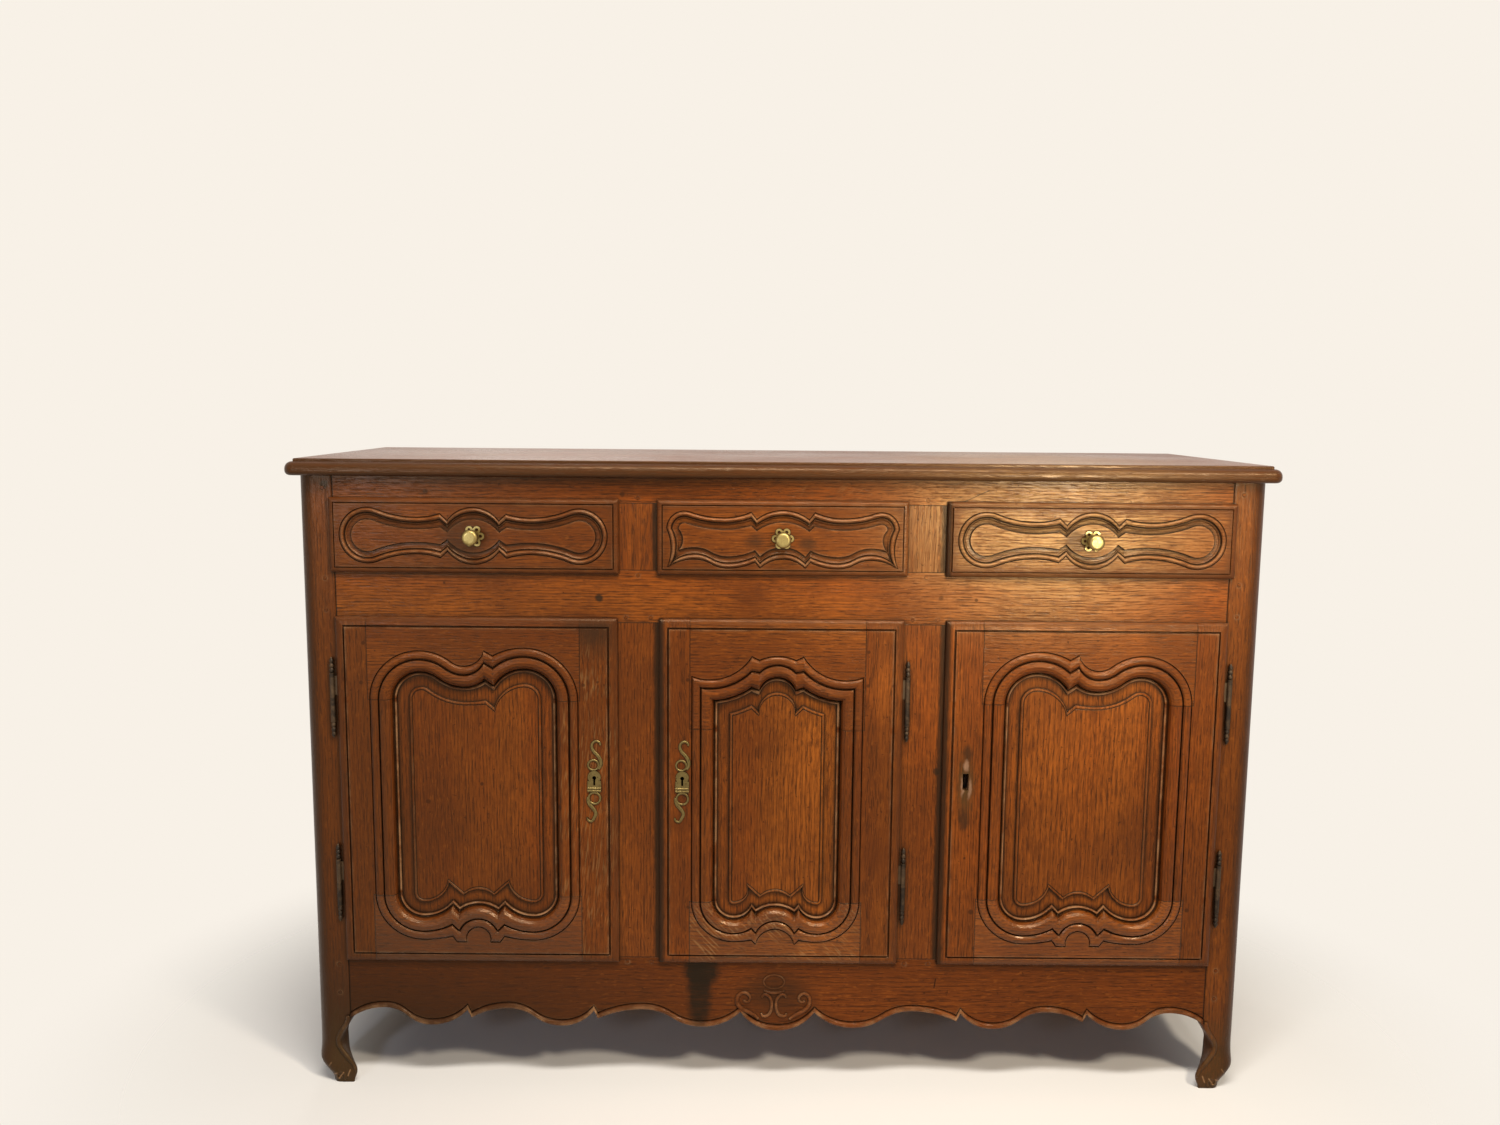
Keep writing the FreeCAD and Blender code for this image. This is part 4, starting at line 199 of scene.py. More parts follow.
def oak(name, grain, tone=0.0, wear=1.0, gloss=0.0, figure=None, marks=(), seams=(), raw=False,
        shine=SHINE_PLAIN, reach=REACH_PLAIN, soil=SOIL_PLAIN, coat=COAT_PLAIN):
    """Waxed oak for one board, or bare oak where it is raw.

    tone darkens below 0, wear bares the edges and gloss smooths the wax. figure is the lean of the rays
    of quartered wood, with the middle and radii of where they show. marks are stains, pegs, dirt, cracks
    and painted shadows and shade. seams are joints as (axis, place, whether it is dark), along which no edge
    is worn.
    reach is how far dirt spreads out of the hollows, and soil is how closed they are where it is thickest and
    where it ends.
    shine is the strength of the wax's reflection, and coat is the hard polish over it. Waxed boards also get
    a painted highlight at the upper right of the front and painted shade over its left and low down."""
    material, g = new_material(name)
    chance = random.Random(name)
    place = g.add("ShaderNodeTexCoord").outputs["Object"]
    moved = g.vector("ADD", place, tuple(chance.uniform(-4, 4) for _ in range(3)))
    bent = g.shake(moved, moved, 3.2, 2.0, 0.03)
    along = g.vector("MULTIPLY", bent, STRETCH[grain])

    # growth rings round a heart that lies off the board
    heart = {"x": (0, 0.16, 0.10), "y": (0.12, 0, 0.14), "z": (0.10, 0.16, 0)}[grain]
    shift = tuple(h * chance.choice((-1, 1)) for h in heart)
    ringed = g.vector("MULTIPLY", g.vector("ADD", place, shift), STRETCH[grain])
    rings = g.add(
        "ShaderNodeTexWave",
        {"Vector": ringed, "Scale": chance.uniform(50, 66), "Distortion": 6.0, "Detail": 3.0,
         "Detail Scale": 0.7, "Detail Roughness": 0.6, "Phase Offset": chance.uniform(0, 6)},
        wave_type="RINGS", rings_direction=grain.upper(), wave_profile="SIN",
    ).outputs["Fac"]
    streaks = g.noise(along, 440.0, 3.0, 0.62, 0.1)
    pores = g.noise(along, 640.0, 2.0, 0.6)
    clouds = g.noise(along, 10.0, 3.0, 0.5, 0.3)
    blotch = g.noise(moved, 5.0, 3.0, 0.5)
    short = tuple(0.22 if s < 1 else 1 for s in STRETCH[grain])
    fleck = g.noise(g.vector("MULTIPLY", bent, short), 300.0, 1.5, 0.5)

    dark, middle, light, pore = OAK_DARK, OAK_MID, OAK_GOLD, PORE
    if raw:
        dark, middle, light, pore = RAW_DARK, RAW_OAK, RAW_OAK, RAW_PORE
    wood = g.mix(g.ramp(clouds, 0.30, 0.74), middle, light)
    wood = g.mix(g.ramp(blotch, 0.36 - tone, 0.78 - tone, 0.70, 0.0), wood, dark)
    if not raw:
        # painted highlight: the upper right of the front is lightened towards gold for the glare there
        uneven = g.ramp(g.noise(along, 30.0, 3.0, 0.6), 0.25, 0.65, 0.6, 1.0)
        wood = g.mix(g.math("MULTIPLY", g.blob(place, *PAINTED_GLARE, 0.1), uneven), wood, OAK_RAYS_AND_GLARE)
    wood = g.mix(g.ramp(rings, 0.30, 0.95, 0.0, 0.32), wood, dark)
    wood = g.mix(g.ramp(streaks, 0.42, 0.64, 0.0, 0.62), wood, dark)
    open_pores = g.math("MULTIPLY", g.ramp(pores, 0.50, 0.60), g.ramp(rings, 0.1, 0.8, 0.45, 1.0))
    wood = g.mix(g.math("MULTIPLY", open_pores, 0.82), wood, pore)
    wood = g.mix(g.ramp(fleck, 0.60, 0.72, 0.0, 0.26), wood, light)
    patina = g.noise(moved, 55.0, 5.0, 0.68)
    wood = g.mix(g.ramp(patina, 0.48, 0.70, 0.0, 0.42), wood, dark)
    specks = g.noise(moved, 150.0, 2.0, 0.5)
    wood = g.mix(g.ramp(specks, 0.68, 0.75, 0.0, 0.75), wood, pore)
    if not raw:
        # painted shade over the left and low down
        for centre, radii, strength in PAINTED_SHADE_BLOBS:
            wood = g.mix(g.math("MULTIPLY", g.blob(place, centre, radii, 0.0), strength), wood, SMOKE_AND_SHADE)
    if figure:
        lean, middle_of_rays, spread = figure
        turned = g.add("ShaderNodeMapping", {"Vector": bent, "Rotation": (0, lean, 0), "Scale": (1, 1, 14)},
                       vector_type="TEXTURE")
        rays = g.noise(turned.outputs[0], 430.0, 1.0, 0.4, 0.2)
        patchy = g.ramp(g.noise(moved, 12.0), 0.42, 0.60, 0.0, 0.26)
        share = g.math("MULTIPLY", g.ramp(rays, 0.54, 0.64), patchy)
        wood = g.mix(g.math("MULTIPLY", share, g.blob(place, middle_of_rays, spread, 0.6)), wood, OAK_RAYS_AND_GLARE)

    # old wax and dirt in the hollows, bare wood on the edges that hands touch
    hollow = g.add("ShaderNodeAmbientOcclusion", {"Distance": reach}, samples=6).outputs["AO"]
    wood = g.mix(g.ramp(hollow, *soil, 0.96, 0.0), wood, WAX_BLACK_AND_SHADOW)
    crest = g.add("ShaderNodeAmbientOcclusion", {"Distance": CREST_REACH}, samples=6, inside=True,
                  only_local=True)
    rubbed = g.math("MULTIPLY", g.ramp(crest.outputs["AO"], 0.42, 0.90, 1.0, 0.0),
                    g.ramp(g.noise(moved, 30.0, 4.0, 0.65), 0.38, 0.66, 0.15, 1.0))
    worn = g.math("MULTIPLY", rubbed, g.ramp(hollow, 0.50, 0.85))
    gaps = []
    if seams:
        sides = g.add("ShaderNodeSeparateXYZ", {0: place})
        for axis, level, is_dark in seams:
            gap = g.math("ABSOLUTE", g.math("SUBTRACT", sides.outputs[AXES[axis]], level))
            worn = g.math("MULTIPLY", worn, g.ramp(gap, *SEAM_UNWORN))
            if is_dark:
                gaps.append(gap)
    wood = g.mix(g.math("MULTIPLY", worn, WORN_SHARE * wear, clamp=True), wood, RAW_OAK if raw else OAK_WORN)
    for gap in gaps:
        wood = g.mix(g.ramp(gap, *SEAM_DARK, 0.90, 0.0), wood, WAX_BLACK_AND_SHADOW)
    for mask, ragged, colour, strength in marks:
        shaken = g.shake(place, moved, 60.0, 3.0, ragged)
        there = g.math("MULTIPLY", mask(g, shaken), g.ramp(streaks, 0.30, 0.60, 0.82 * strength, strength))
        wood = g.mix(there, wood, colour)

    sheen = g.ramp(g.math("ADD", g.math("MULTIPLY", streaks, 0.5), g.math("MULTIPLY", blotch, 0.5)),
                   0.3, 0.7, 0.27 - gloss, 0.44 - gloss)
    height = g.math("SUBTRACT", g.math("MULTIPLY", streaks, 0.6), g.math("MULTIPLY", open_pores, 0.5))
    eased = g.add("ShaderNodeBevel", {"Radius": EASED_EDGE}, samples=4).outputs[0]
    relief = g.add(
        "ShaderNodeBump", {"Height": height, "Strength": 0.4, "Distance": 0.0008, "Normal": eased}).outputs[0]
    shader = g.add("ShaderNodeBsdfPrincipled", {
        "Base Color": wood, "Roughness": sheen, "Normal": relief, "Coat Normal": relief})
    shader.inputs["Specular IOR Level"].default_value = SHINE_RAW if raw else shine
    shader.inputs["Coat Weight"].default_value = 0.0 if raw else coat
    shader.inputs["Coat Roughness"].default_value = COAT_ROUGHNESS
    shader.inputs["Specular Tint"].default_value = WAX_TINT
    g.add("ShaderNodeOutputMaterial", {"Surface": shader.outputs[0]})
    return material


# Metal

def metal_surface(g, colour, rough, height, strength, metallic):
    """Shader of a metal with a fine relief, and the material's output."""
    relief = g.add("ShaderNodeBump", {"Height": height, "Strength": strength, "Distance": 0.0004}).outputs[0]
    shader = g.add("ShaderNodeBsdfPrincipled", {"Base Color": colour, "Roughness": rough, "Normal": relief})
    shader.inputs["Metallic"].default_value = metallic
    g.add("ShaderNodeOutputMaterial", {"Surface": shader.outputs[0]})


def brass(name, dull_low, dull_high):
    """Old brass: yellow where it is rubbed, brown and dull in its hollows."""
    material, g = new_material(name)
    place = g.add("ShaderNodeTexCoord").outputs["Object"]
    cloud = g.noise(place, 90.0, 4.0, 0.6)
    speck = g.noise(place, 420.0, 3.0, 0.6)
    hollow = g.add("ShaderNodeAmbientOcclusion", {"Distance": 0.007}, samples=8).outputs["AO"]
    metal = g.mix(g.ramp(cloud, 0.36, 0.66, dull_low, dull_high), BRASS, BRASS_DULL)
    metal = g.mix(g.ramp(speck, 0.54, 0.72, 0.0, dull_high), metal, BRASS_BROWN)
    metal = g.mix(g.ramp(hollow, 0.35, 0.95, 0.97, 0.0), metal, BRASS_BROWN)
    rough = g.ramp(g.math("ADD", cloud, speck), 0.7, 1.3, 0.28, 0.52)
    metal_surface(g, metal, rough, speck, 0.2, 1.0)
    return material


def iron(name, plain, rubbed, share):
    """Dark forged iron, lighter where it is rubbed or rusted."""
    material, g = new_material(name)
    place = g.add("ShaderNodeTexCoord").outputs["Object"]
    cloud = g.noise(place, 70.0, 4.0, 0.62)
    pits = g.noise(place, 600.0, 3.0, 0.6)
    metal = g.mix(g.ramp(cloud, 0.45, 0.70, 0.0, share), plain, rubbed)
    crest = g.add("ShaderNodeAmbientOcclusion", {"Distance": 0.003}, samples=6, inside=True, only_local=True)
    metal = g.mix(g.ramp(crest.outputs["AO"], 0.35, 0.80, share, 0.0), metal, rubbed)
    rough = g.ramp(g.math("ADD", cloud, pits), 0.7, 1.3, 0.36, 0.62)
    metal_surface(g, metal, rough, pits, 0.3, 0.6)
    return material


# Marks on single boards

# Depth of the front frame's face and of the faces of doors and drawers
FACE = -0.2325
DOOR = -0.2435
# Half widths of the stripes along edges
CORNER_HALF, NOSE_HALF, LIP_HALF, FRAME_HALF, SHADOW_HALF, SHADED_HALF = 0.036, 0.030, 0.013, 0.026, 0.009, 0.011
POST_CORNER = 0.812
# how far left of a lip its painted shadow lies
SHADOW_ASIDE = 0.002


def patch(centre, radii, colour, strength, edge, ragged=None):
    """A mark with a ragged round outline."""
    return lambda g, at: g.blob(at, centre, radii, edge), ragged or 0.6 * min(radii), colour, strength


def dot(x, z, radius=0.0042, colour=PORE, strength=0.9, y=DOOR):
    """A peg's end or a knot, seen as a dark dot."""
    return patch((x, y, z), (radius, 0.03, radius), colour, strength, 0.45)


def smear(x, z, wide, tall, colour, strength, y=DOOR):
    """A soft stain."""
    return patch((x, y, z), (wide, 0.06, tall), colour, strength, 0.15)


def band(axis, level, half, colour, strength):
    """A soft stripe along a straight edge."""
    def mask(g, at):
        side = g.add("ShaderNodeSeparateXYZ", {0: at}).outputs[AXES[axis]]
        return g.ramp(g.math("ABSOLUTE", g.math("SUBTRACT", side, level)), 0.4 * half, half, 1.0, 0.0)
    return mask, 0.004, colour, strength


def crack(start, end, half=0.0011, colour=WAX_BLACK_AND_SHADOW, strength=0.9):
    """A fine split or scratch over the front."""
    return lambda g, at: g.line(at, start, end, half), 0.002, colour, strength


MARKS = {
    "left_door_hinge_stile": [dot(-0.704, 0.791), dot(-0.710, 0.723), dot(-0.739, 0.728, 0.005)],
    "left_door_lock_stile": [dot(-0.335, 0.721), dot(-0.341, 0.326), dot(-0.348, 0.272),
                             dot(-0.377, 0.507, 0.006), smear(-0.315, 0.822, 0.075, 0.075, SMOKE_AND_SHADE, 0.95)],
    "left_door_top_rail": [smear(-0.350, 0.838, 0.05, 0.04, SMOKE_AND_SHADE, 0.7)],
    "left_door_panel": [dot(-0.604, 0.513, 0.006), dot(-0.511, 0.545, 0.005), dot(-0.403, 0.609, 0.003)],
    "center_door_lock_stile": [dot(-0.153, 0.790), dot(-0.158, 0.732), dot(-0.157, 0.330), dot(-0.150, 0.268),
                               smear(-0.170, 0.480, 0.030, 0.030, OAK_DARK, 0.7)],
    "center_door_hinge_stile": [dot(0.147, 0.782), dot(0.191, 0.724), dot(0.147, 0.724),
                                smear(0.17, 0.43, 0.045, 0.07, OAK_DARK, 0.8)],
    "right_door_lock_stile": [
        dot(0.333, 0.325, 0.006), dot(0.340, 0.259, 0.005), dot(0.319, 0.422, 0.003),
        smear(0.317, 0.550, 0.022, 0.085, GHOST, 0.95),
        patch((0.319, DOOR, 0.606), (0.011, 0.03, 0.022), SMOKE_AND_SHADE, 0.85, 0.30, 0.012),
        patch((0.315, DOOR, 0.490), (0.012, 0.03, 0.028), SMOKE_AND_SHADE, 0.85, 0.30, 0.012),
        patch((0.3115, DOOR, 0.549), (0.0045, 0.03, 0.022), BARE_CHIP, 0.60, 0.30, 0.009),
        patch((0.3240, DOOR, 0.546), (0.0040, 0.03, 0.024), BARE_CHIP, 0.60, 0.30, 0.009),
        patch((0.3170, DOOR, 0.586), (0.0065, 0.03, 0.014), BARE_CHIP, 0.70, 0.30, 0.010),
    ],
    "right_door_hinge_stile": [dot(0.700, 0.268, 0.005), dot(0.707, 0.331, 0.005)],
    "middle_rail": [dot(-0.308, 0.869, 0.009, STAIN, 0.95, FACE), dot(-0.568, 0.893, 0.003, PORE, 0.9, FACE),
                    dot(0.327, 0.870, 0.004, PORE, 0.9, FACE), dot(0.268, 0.873, 0.006, PORE, 0.7, FACE),
                    smear(-0.05, 0.872, 0.05, 0.05, OAK_DARK, 0.7, FACE)],
    "top_rail": [dot(-0.268, 1.044, 0.006, PORE, 0.9, FACE), dot(-0.596, 1.046, 0.006, PORE, 0.9, FACE),
                 crack((0.301, 1.036), (0.343, 1.055))],
    "right_door_divider": [dot(0.268, 0.572, 0.009, STAIN, 0.8, FACE)],
    "front_left_post": [dot(-0.764, 1.057, 0.010, STAIN, 0.95, FACE)],
    "front_right_post": [],
    "apron": [patch((-0.134, FACE, 0.218), (0.038, 0.06, 0.052), STAIN, 1.0, 0.60),
              patch((-0.137, FACE, 0.165), (0.027, 0.06, 0.080), STAIN, 0.95, 0.45),
              patch((0.0, FACE, 0.170), (0.090, 0.0038, 0.064), SMOKE_AND_SHADE, 0.75, 0.25),
              crack((0.277, 0.197), (0.275, 0.181), 0.0016), dot(0.258, 0.171, 0.003, PORE, 0.8, FACE)],
    "center_drawer_front": [smear(-0.046, 0.968, 0.024, 0.022, SMOKE_AND_SHADE, 0.75),
                            smear(0.040, 0.965, 0.022, 0.020, SMOKE_AND_SHADE, 0.75)],
    "left_drawer_front": [],
    "right_drawer_front": [patch((0.744, DOOR, 1.0345), (0.016, 0.03, 0.005), OAK_GOLD, 0.8, 0.8)],
}

# feet: dirt from the floor, with bare yellow scratches on the toes
TOE_SCRATCHES = (
    ((0.772, 0.008), (0.764, 0.019)), ((0.784, 0.013), (0.776, 0.017)),
    ((0.757, 0.012), (0.752, 0.024)), ((0.790, 0.030), (0.786, 0.036)),
)
for post, side in (("front_left_post", -1), ("front_right_post", 1)):
    MARKS[post] += [patch((0.79 * side, -0.23, 0.02), (0.15, 0.20, 0.15), FOOT_DIRT, 0.85, 0.15)]
    for start, end in TOE_SCRATCHES:
        MARKS[post].append(crack((start[0] * side, start[1]), (end[0] * side, end[1]), 0.0016, OAK_WORN, 0.6))

# painted shade on the outer corners of the posts; the nose of the top is darker along its front
for post, side, strength in (("front_left_post", -1, 0.85), ("front_right_post", 1, 0.80)):
    MARKS[post].append(band("x", POST_CORNER * side, CORNER_HALF, SMOKE_AND_SHADE, strength))
MARKS["top_board"] = [band("y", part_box("top_board")[0][1], NOSE_HALF, NOSE_DARK, 0.90)]

# rounded lips of doors and drawers, darkened by hands
for part in ("left_door", "center_door", "right_door"):
    boards = [part + piece for piece in ("_hinge_stile", "_lock_stile", "_top_rail", "_bottom_rail")]
    corners = [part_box(board) for board in boards]
    edges = [("x", min(low[0] for low, _ in corners)), ("x", max(high[0] for _, high in corners)),
             ("z", min(low[2] for low, _ in corners)), ("z", max(high[2] for _, high in corners))]
    for board in boards:
        MARKS.setdefault(board, [])
        MARKS[board] += [band(axis, level, LIP_HALF, LIP_DIRT, 0.55) for axis, level in edges]

# painted shadow on the frame to the left of doors and drawers, as their lips would cast in light from the
# right
for divider, door in (("left_door_divider", "center_door"), ("right_door_divider", "right_door")):
    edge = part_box(door + "_lock_stile")[0][0]
    MARKS.setdefault(divider, [])
    MARKS[divider].append(band("x", edge - SHADOW_ASIDE, SHADOW_HALF, WAX_BLACK_AND_SHADOW, 0.90))
MARKS["drawer_dividers"] = []
for drawer, strength in (("left", 0.50), ("center", 0.50), ("right", 0.80)):
    low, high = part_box(drawer + "_drawer_front")
    # painted shadow to the left of each drawer
    MARKS["drawer_dividers"].append(band("x", low[0] - SHADOW_ASIDE, SHADOW_HALF, WAX_BLACK_AND_SHADOW, 0.90))
    for axis, level in (("x", low[0]), ("x", high[0]), ("z", low[2]), ("z", high[2])):
        MARKS[drawer + "_drawer_front"].append(band(axis, level, FRAME_HALF, LIP_DIRT, strength))

# painted shade around the left knob and painted shadow to the left of the right knob, and painted shade on
# the left edges of lips that face away from the light
for drawer, aside, radii, strength in (("left", 0.012, (0.060, 0.06, 0.042), 0.65),
                                      ("right", 0.026, (0.026, 0.06, 0.022), 0.80)):
    low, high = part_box(drawer + "_drawer_knob")
    knob_shade_centre = ((low[0] + high[0]) / 2 - aside, DOOR, (low[2] + high[2]) / 2)
    MARKS[drawer + "_drawer_front"].append(patch(knob_shade_centre, radii, SMOKE_AND_SHADE, strength, 0.40))
for board in ("center_door_lock_stile", "right_door_lock_stile", "right_drawer_front"):
    MARKS[board].append(band("x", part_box(board)[0][0], SHADED_HALF, WAX_BLACK_AND_SHADOW, 0.85))


# Joints between flush boards: a fine dark line, and no wear beside it

POST_INNER = 0.751
DOOR_TENON = 0.034
RAIL_LEVELS = (0.233, 0.828, 0.916, 1.030)
SEAMS = {name: [("x", -POST_INNER, True), ("x", POST_INNER, True)] + [("z", z, False) for z in RAIL_LEVELS]
         for name in ("top_rail", "middle_rail", "apron")}
SEAMS.update({name: [("x", -POST_INNER, False), ("x", POST_INNER, False)]
              for name in ("front_left_post", "front_right_post")})
SEAMS.update({name: [("z", z, True) for z in RAIL_LEVELS]
              for name in ("drawer_dividers", "left_door_divider", "right_door_divider")})
for door in SIDES:
    top_low, top_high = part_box(door + "_door_top_rail")
    _, foot_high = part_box(door + "_door_bottom_rail")
    shoulders = (top_low[0] + DOOR_TENON, top_high[0] - DOOR_TENON)
    springs = (top_low[2], foot_high[2])
    for rail, spring in (("top", springs[0]), ("bottom", springs[1])):
        SEAMS["%s_door_%s_rail" % (door, rail)] = [
            ("x", shoulders[0], True), ("x", shoulders[1], True), ("z", spring, True)]
    for stile in ("hinge", "lock"):
        SEAMS["%s_door_%s_stile" % (door, stile)] = (
            [("x", x, False) for x in shoulders] + [("z", z, False) for z in springs])


# Which board is cut how, and how dark it is

def dress(node, material):
    mesh = nodes[node].data
    mesh.materials.clear()
    mesh.materials.append(material)


VERTICAL = {
    "front_left_post": -0.30, "front_right_post": -0.14, "back_left_post": 0.0, "back_right_post": 0.0,
    "drawer_dividers": 0.04, "left_door_divider": 0.0, "right_door_divider": 0.04,
    "side_panels": 0.0, "back_panels": 0.0,
}
# the top rail's tone is raised: painted light against the shade that the nose of the top casts on it
LENGTHWISE = {
    "top_board": -0.30, "top_rail": 0.26, "middle_rail": 0.08, "apron": -0.14, "back_rails": 0.0,
    "joint_pegs": -0.60,
    "left_drawer_front": -0.10, "center_drawer_front": -0.06, "right_drawer_front": -0.16,
}
for door, tone in (("left", -0.06), ("center", 0.02), ("right", 0.10)):
    VERTICAL[door + "_door_hinge_stile"] = tone - 0.04
    VERTICAL[door + "_door_lock_stile"] = tone
    VERTICAL[door + "_door_panel"] = tone + 0.05
    LENGTHWISE[door + "_door_top_rail"] = tone - 0.09
    LENGTHWISE[door + "_door_bottom_rail"] = tone
WEAR = {"apron": 1.35, "front_left_post": 1.2, "front_right_post": 1.2, "joint_pegs": 0.0}
GLOSS = {"top_board": 0.06}
SHINE = {"top_board": 0.32, "apron": 0.18}
REACH = {}
SOIL = {"apron": (0.45, 0.97)}
COAT = {}
for door in SIDES:
    WEAR[door + "_door_panel"] = 0.35
    SOIL[door + "_door_panel"] = (0.72, 0.992)
    REACH[door + "_door_panel"] = 0.010
    SOIL[door + "_drawer_front"] = (0.72, 0.994) if door == "right" else (0.58, 0.985)
    GLOSS[door + "_door_bottom_rail"] = 0.08
    SHINE[door + "_door_bottom_rail"] = 0.42
    COAT[door + "_door_bottom_rail"] = 0.12
FIGURE = {"center_door_bottom_rail": (-0.75, (0, DOOR, 0.27), (0.25, 0.3, 0.12)),
          "left_door_lock_stile": (0.12, (-0.34, DOOR, 0.53), (0.10, 0.3, 0.40)),
          "top_rail": (0.85, (0.17, FACE, 1.05), (0.17, 0.3, 0.10))}
RAW_LENGTHWISE = ["bottom_board", "shelf"]
RAW_DEEP = ["board_cleats", "drawer_runners"]
for drawer in SIDES:
    RAW_DEEP += [drawer + "_drawer_box", drawer + "_drawer_bottom"]

for grain, boards in (("z", VERTICAL), ("x", LENGTHWISE)):
    for node, tone in boards.items():
        dress(node, oak(node, grain, tone, WEAR.get(node, 1.0), GLOSS.get(node, 0.0), FIGURE.get(node),
                        MARKS.get(node, ()), SEAMS.get(node, ()), shine=SHINE.get(node, SHINE_PLAIN),
                        reach=REACH.get(node, REACH_PLAIN), soil=SOIL.get(node, SOIL_PLAIN),
                        coat=COAT.get(node, COAT_PLAIN)))
dress("side_rails", oak("side_rails", "y"))
for node in RAW_LENGTHWISE:
    dress(node, oak(node, "x", raw=True))
for node in RAW_DEEP:
    dress(node, oak(node, "y", raw=True))

dark_iron = iron("dark_iron", IRON, IRON_RUST, 0.8)
hinge_metal = iron("hinge_metal", HINGE, HINGE_RUBBED, 0.55)
key_plate_brass = brass("key_plate_brass", 0.78, 1.0)
knob_brass = brass("knob_brass", 0.0, 0.35)
for node in nodes:
    if "hinge_knuckles" in node or node == "hinge_pintles":
        dress(node, hinge_metal)
    if "lock_case" in node or "bolt" in node:
        dress(node, dark_iron)
    if "escutcheon" in node:
        dress(node, key_plate_brass)
    if "knob" in node:
        dress(node, knob_brass)


# Carved bead that runs on from the apron down the inner edge of either foot

FOOT_EDGE = ((0.0, 0.7445), (0.022, 0.738), (0.074, 0.770), (0.118, 0.751))
FOOT_FACE = ((0.0, -0.2390), (0.022, -0.2415), (0.074, FACE), (0.118, FACE))
BEAD_TOP, BEAD_RUN = 0.121, 0.100


def eased(z, stations):
    """Value at a height, led smoothly from station to station; each station is (height, value)."""
    for (low, first), (high, last) in zip(stations, stations[1:]):
        if z <= high:
            share = (z - low) / (high - low)
            return first + (last - first) * share * share * (3 - 2 * share)
    return stations[-1][1]


def foot_bead(name, post, side):
    """A round bead, half sunk in the face of the foot and drawn thin at the toe."""
    steps, around, inset, thick = 36, 10, 0.0045, 0.0042
    path = []
    for step in range(steps + 1):
        z = BEAD_TOP - BEAD_RUN * step / steps
        path.append(Vector((side * (eased(z, FOOT_EDGE) + inset), eased(z, FOOT_FACE), z)))
    points, faces = [], []
    for index, middle in enumerate(path):
        along = (path[min(index + 1, steps)] - path[max(index - 1, 0)]).normalized()
        across = along.cross(Vector((0, 1, 0))).normalized()
        out = across.cross(along)
        radius = thick * min(1.0, 0.25 + 3.0 * (steps - index) / steps)
        for turn in range(around):
            angle = 2 * math.pi * turn / around
            points.append(middle + across * (radius * math.cos(angle)) + out * (radius * math.sin(angle)))
    for index in range(steps):
        for turn in range(around):
            here, there = index * around + turn, index * around + (turn + 1) % around
            faces.append((here, there, there + around, here + around))
    faces.append(tuple(range(around))[::-1])
    faces.append(tuple(range(steps * around, (steps + 1) * around)))
    mesh = bpy.data.meshes.new(name)
    mesh.from_pydata([tuple(point) for point in points], [], faces)
    mesh.polygons.foreach_set("use_smooth", [True] * len(mesh.polygons))
    mesh.materials.append(nodes[post].data.materials[0])
    piece = bpy.data.objects.new(name, mesh)
    scene.collection.objects.link(piece)
    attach(piece, "carcass")


foot_bead("left_foot_bead", "front_left_post", -1)
foot_bead("right_foot_bead", "front_right_post", 1)


# Floor, light and camera

def floor():
    """A pale floor that keeps the shadow and melts into the background away from the buffet."""
    mesh = bpy.data.meshes.new("floor")
    half = 6.0
    corners = [(-half, -half, 0), (half, -half, 0), (half, half, 0), (-half, half, 0)]
    mesh.from_pydata(corners, [], [(0, 1, 2, 3)])
    ground = bpy.data.objects.new("floor", mesh)
    scene.collection.objects.link(ground)
    material, g = new_material("floor")
    place = g.add("ShaderNodeTexCoord").outputs["Object"]
    near = g.blob(place, (0, -0.02, 0), (1.45, 1.15, 1.0), 0.45)
    tint = g.mix(g.noise(place, 3.0), FLOOR_PALE, FLOOR_PALER)
    lit = g.add("ShaderNodeBsdfDiffuse", {"Color": tint})
    clear = g.add("ShaderNodeBsdfTransparent")
    both = g.add("ShaderNodeMixShader", {0: near, 1: clear.outputs[0], 2: lit.outputs[0]})
    g.add("ShaderNodeOutputMaterial", {"Surface": both.outputs[0]})
    mesh.materials.append(material)


def world():
    """Cream where it is seen, straight or mirrored; a softer warm grey as light."""
    sky = bpy.data.worlds.new("room")
    scene.world = sky
    g = Graph(sky)
    path = g.add("ShaderNodeLightPath")
    seen = g.math("MAXIMUM", path.outputs["Is Camera Ray"],
                  g.math("MAXIMUM", path.outputs["Is Glossy Ray"], path.outputs["Is Transmission Ray"]))
    shown = g.add("ShaderNodeBackground", {"Color": CREAM, "Strength": 1.0})
    light = g.add("ShaderNodeBackground", {"Color": (*WARM_WHITE, 1), "Strength": 0.09})
    both = g.add("ShaderNodeMixShader", {0: seen, 1: light.outputs[0], 2: shown.outputs[0]})
    g.add("ShaderNodeOutputWorld", {"Surface": both.outputs[0]})


def aimed(kind, name, place, target, power, colour):
    """A lamp of one kind that points at a target; returns its settings."""
    data = bpy.data.lights.new(name, kind)
    data.energy = power
    data.color = colour
    made = bpy.data.objects.new(name, data)
    made.location = place
    made.rotation_euler = (Vector(target) - Vector(place)).to_track_quat("-Z", "Y").to_euler()
    scene.collection.objects.link(made)
    return data


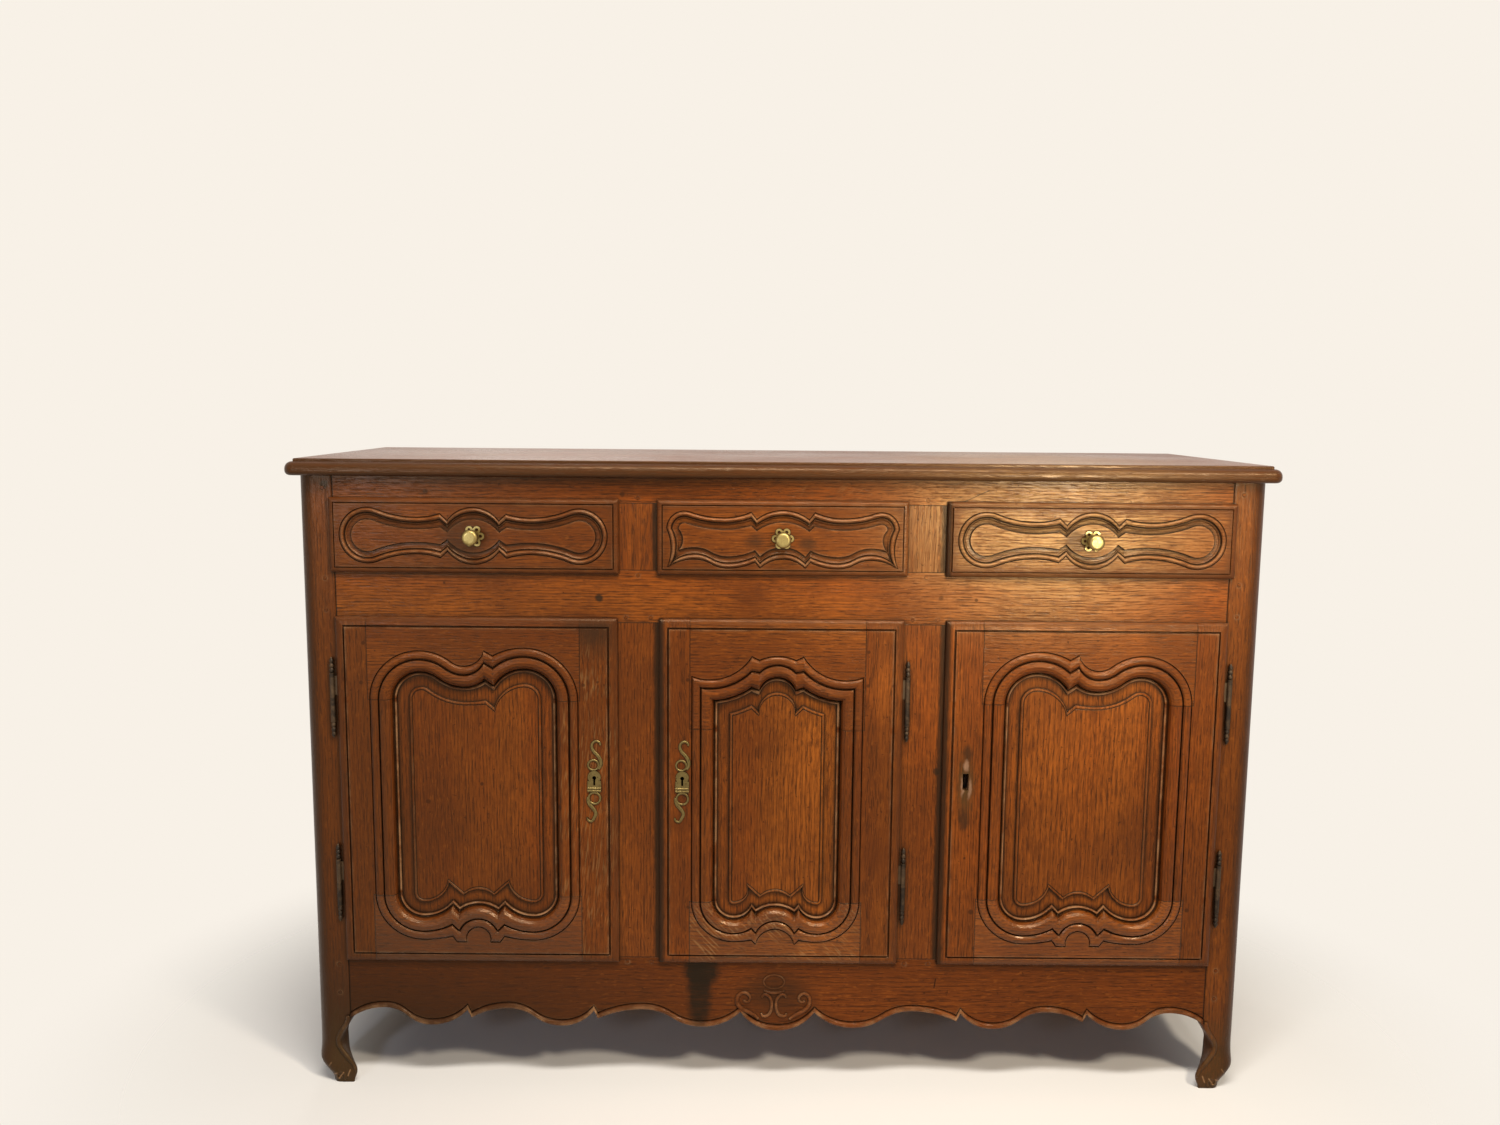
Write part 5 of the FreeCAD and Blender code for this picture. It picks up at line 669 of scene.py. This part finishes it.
def lamp(name, place, target, size, power, colour):
    """A soft oblong lamp."""
    data = aimed("AREA", name, place, target, power, colour)
    data.shape = "RECTANGLE"
    data.size, data.size_y = size


def spot(name, place, target, cone, power, colour):
    """A cone of light with a soft rim; cone is its angle in degrees."""
    data = aimed("SPOT", name, place, target, power, colour)
    data.spot_size = math.radians(cone)
    data.spot_blend = 1.0
    data.shadow_soft_size = 0.16


SENSOR_WIDTH = 36.0
FOCAL_PIXELS, PHOTO_PIXELS = 1224.087, 1500
VIEWPOINT = (-0.05733, -2.26829, 1.19551)
YAW, PITCH, ROLL = 0.00142694, 0.12909413, -0.00836134


def camera():
    """The photograph's viewpoint: a little left of the middle, 1.2 m up, tipped down."""
    forward = Vector((math.sin(YAW) * math.cos(PITCH), math.cos(YAW) * math.cos(PITCH), -math.sin(PITCH)))
    level = Vector((math.cos(YAW), -math.sin(YAW), 0))
    down = forward.cross(level)
    right = level * math.cos(ROLL) + down * math.sin(ROLL)
    up = level * math.sin(ROLL) - down * math.cos(ROLL)
    data = bpy.data.cameras.new("camera")
    data.sensor_fit = "HORIZONTAL"
    data.sensor_width = SENSOR_WIDTH
    data.lens = SENSOR_WIDTH * FOCAL_PIXELS / PHOTO_PIXELS
    data.clip_start = 0.02
    made = bpy.data.objects.new("camera", data)
    made.matrix_world = Matrix.Translation(VIEWPOINT) @ Matrix(
        (right, up, -forward)).transposed().to_4x4()
    scene.collection.objects.link(made)
    scene.camera = made


floor()
world()
lamp("key", (1.45, -2.00, 2.45), (0.15, -0.24, 0.70), (0.35, 0.35), 44, (1.0, 0.88, 0.70))
spot("glare", (0.98, -2.30, 1.00), (0.47, -0.24, 1.10), 34, 140, (1.0, 0.95, 0.80))
lamp("overhead", (0.10, -1.45, 2.90), (0.05, -0.30, 0.3), (1.8, 0.4), 66, WARM_WHITE)
lamp("fill", (-1.35, -2.35, 1.10), (-0.3, -0.2, 0.9), (0.25, 0.5), 9, (0.76, 0.84, 1.0))
lamp("behind", (-0.9, 2.4, 2.7), (0.0, 0.3, 0.7), (0.8, 0.8), 11, WARM_WHITE)
camera()

scene.view_settings.view_transform = "Standard"
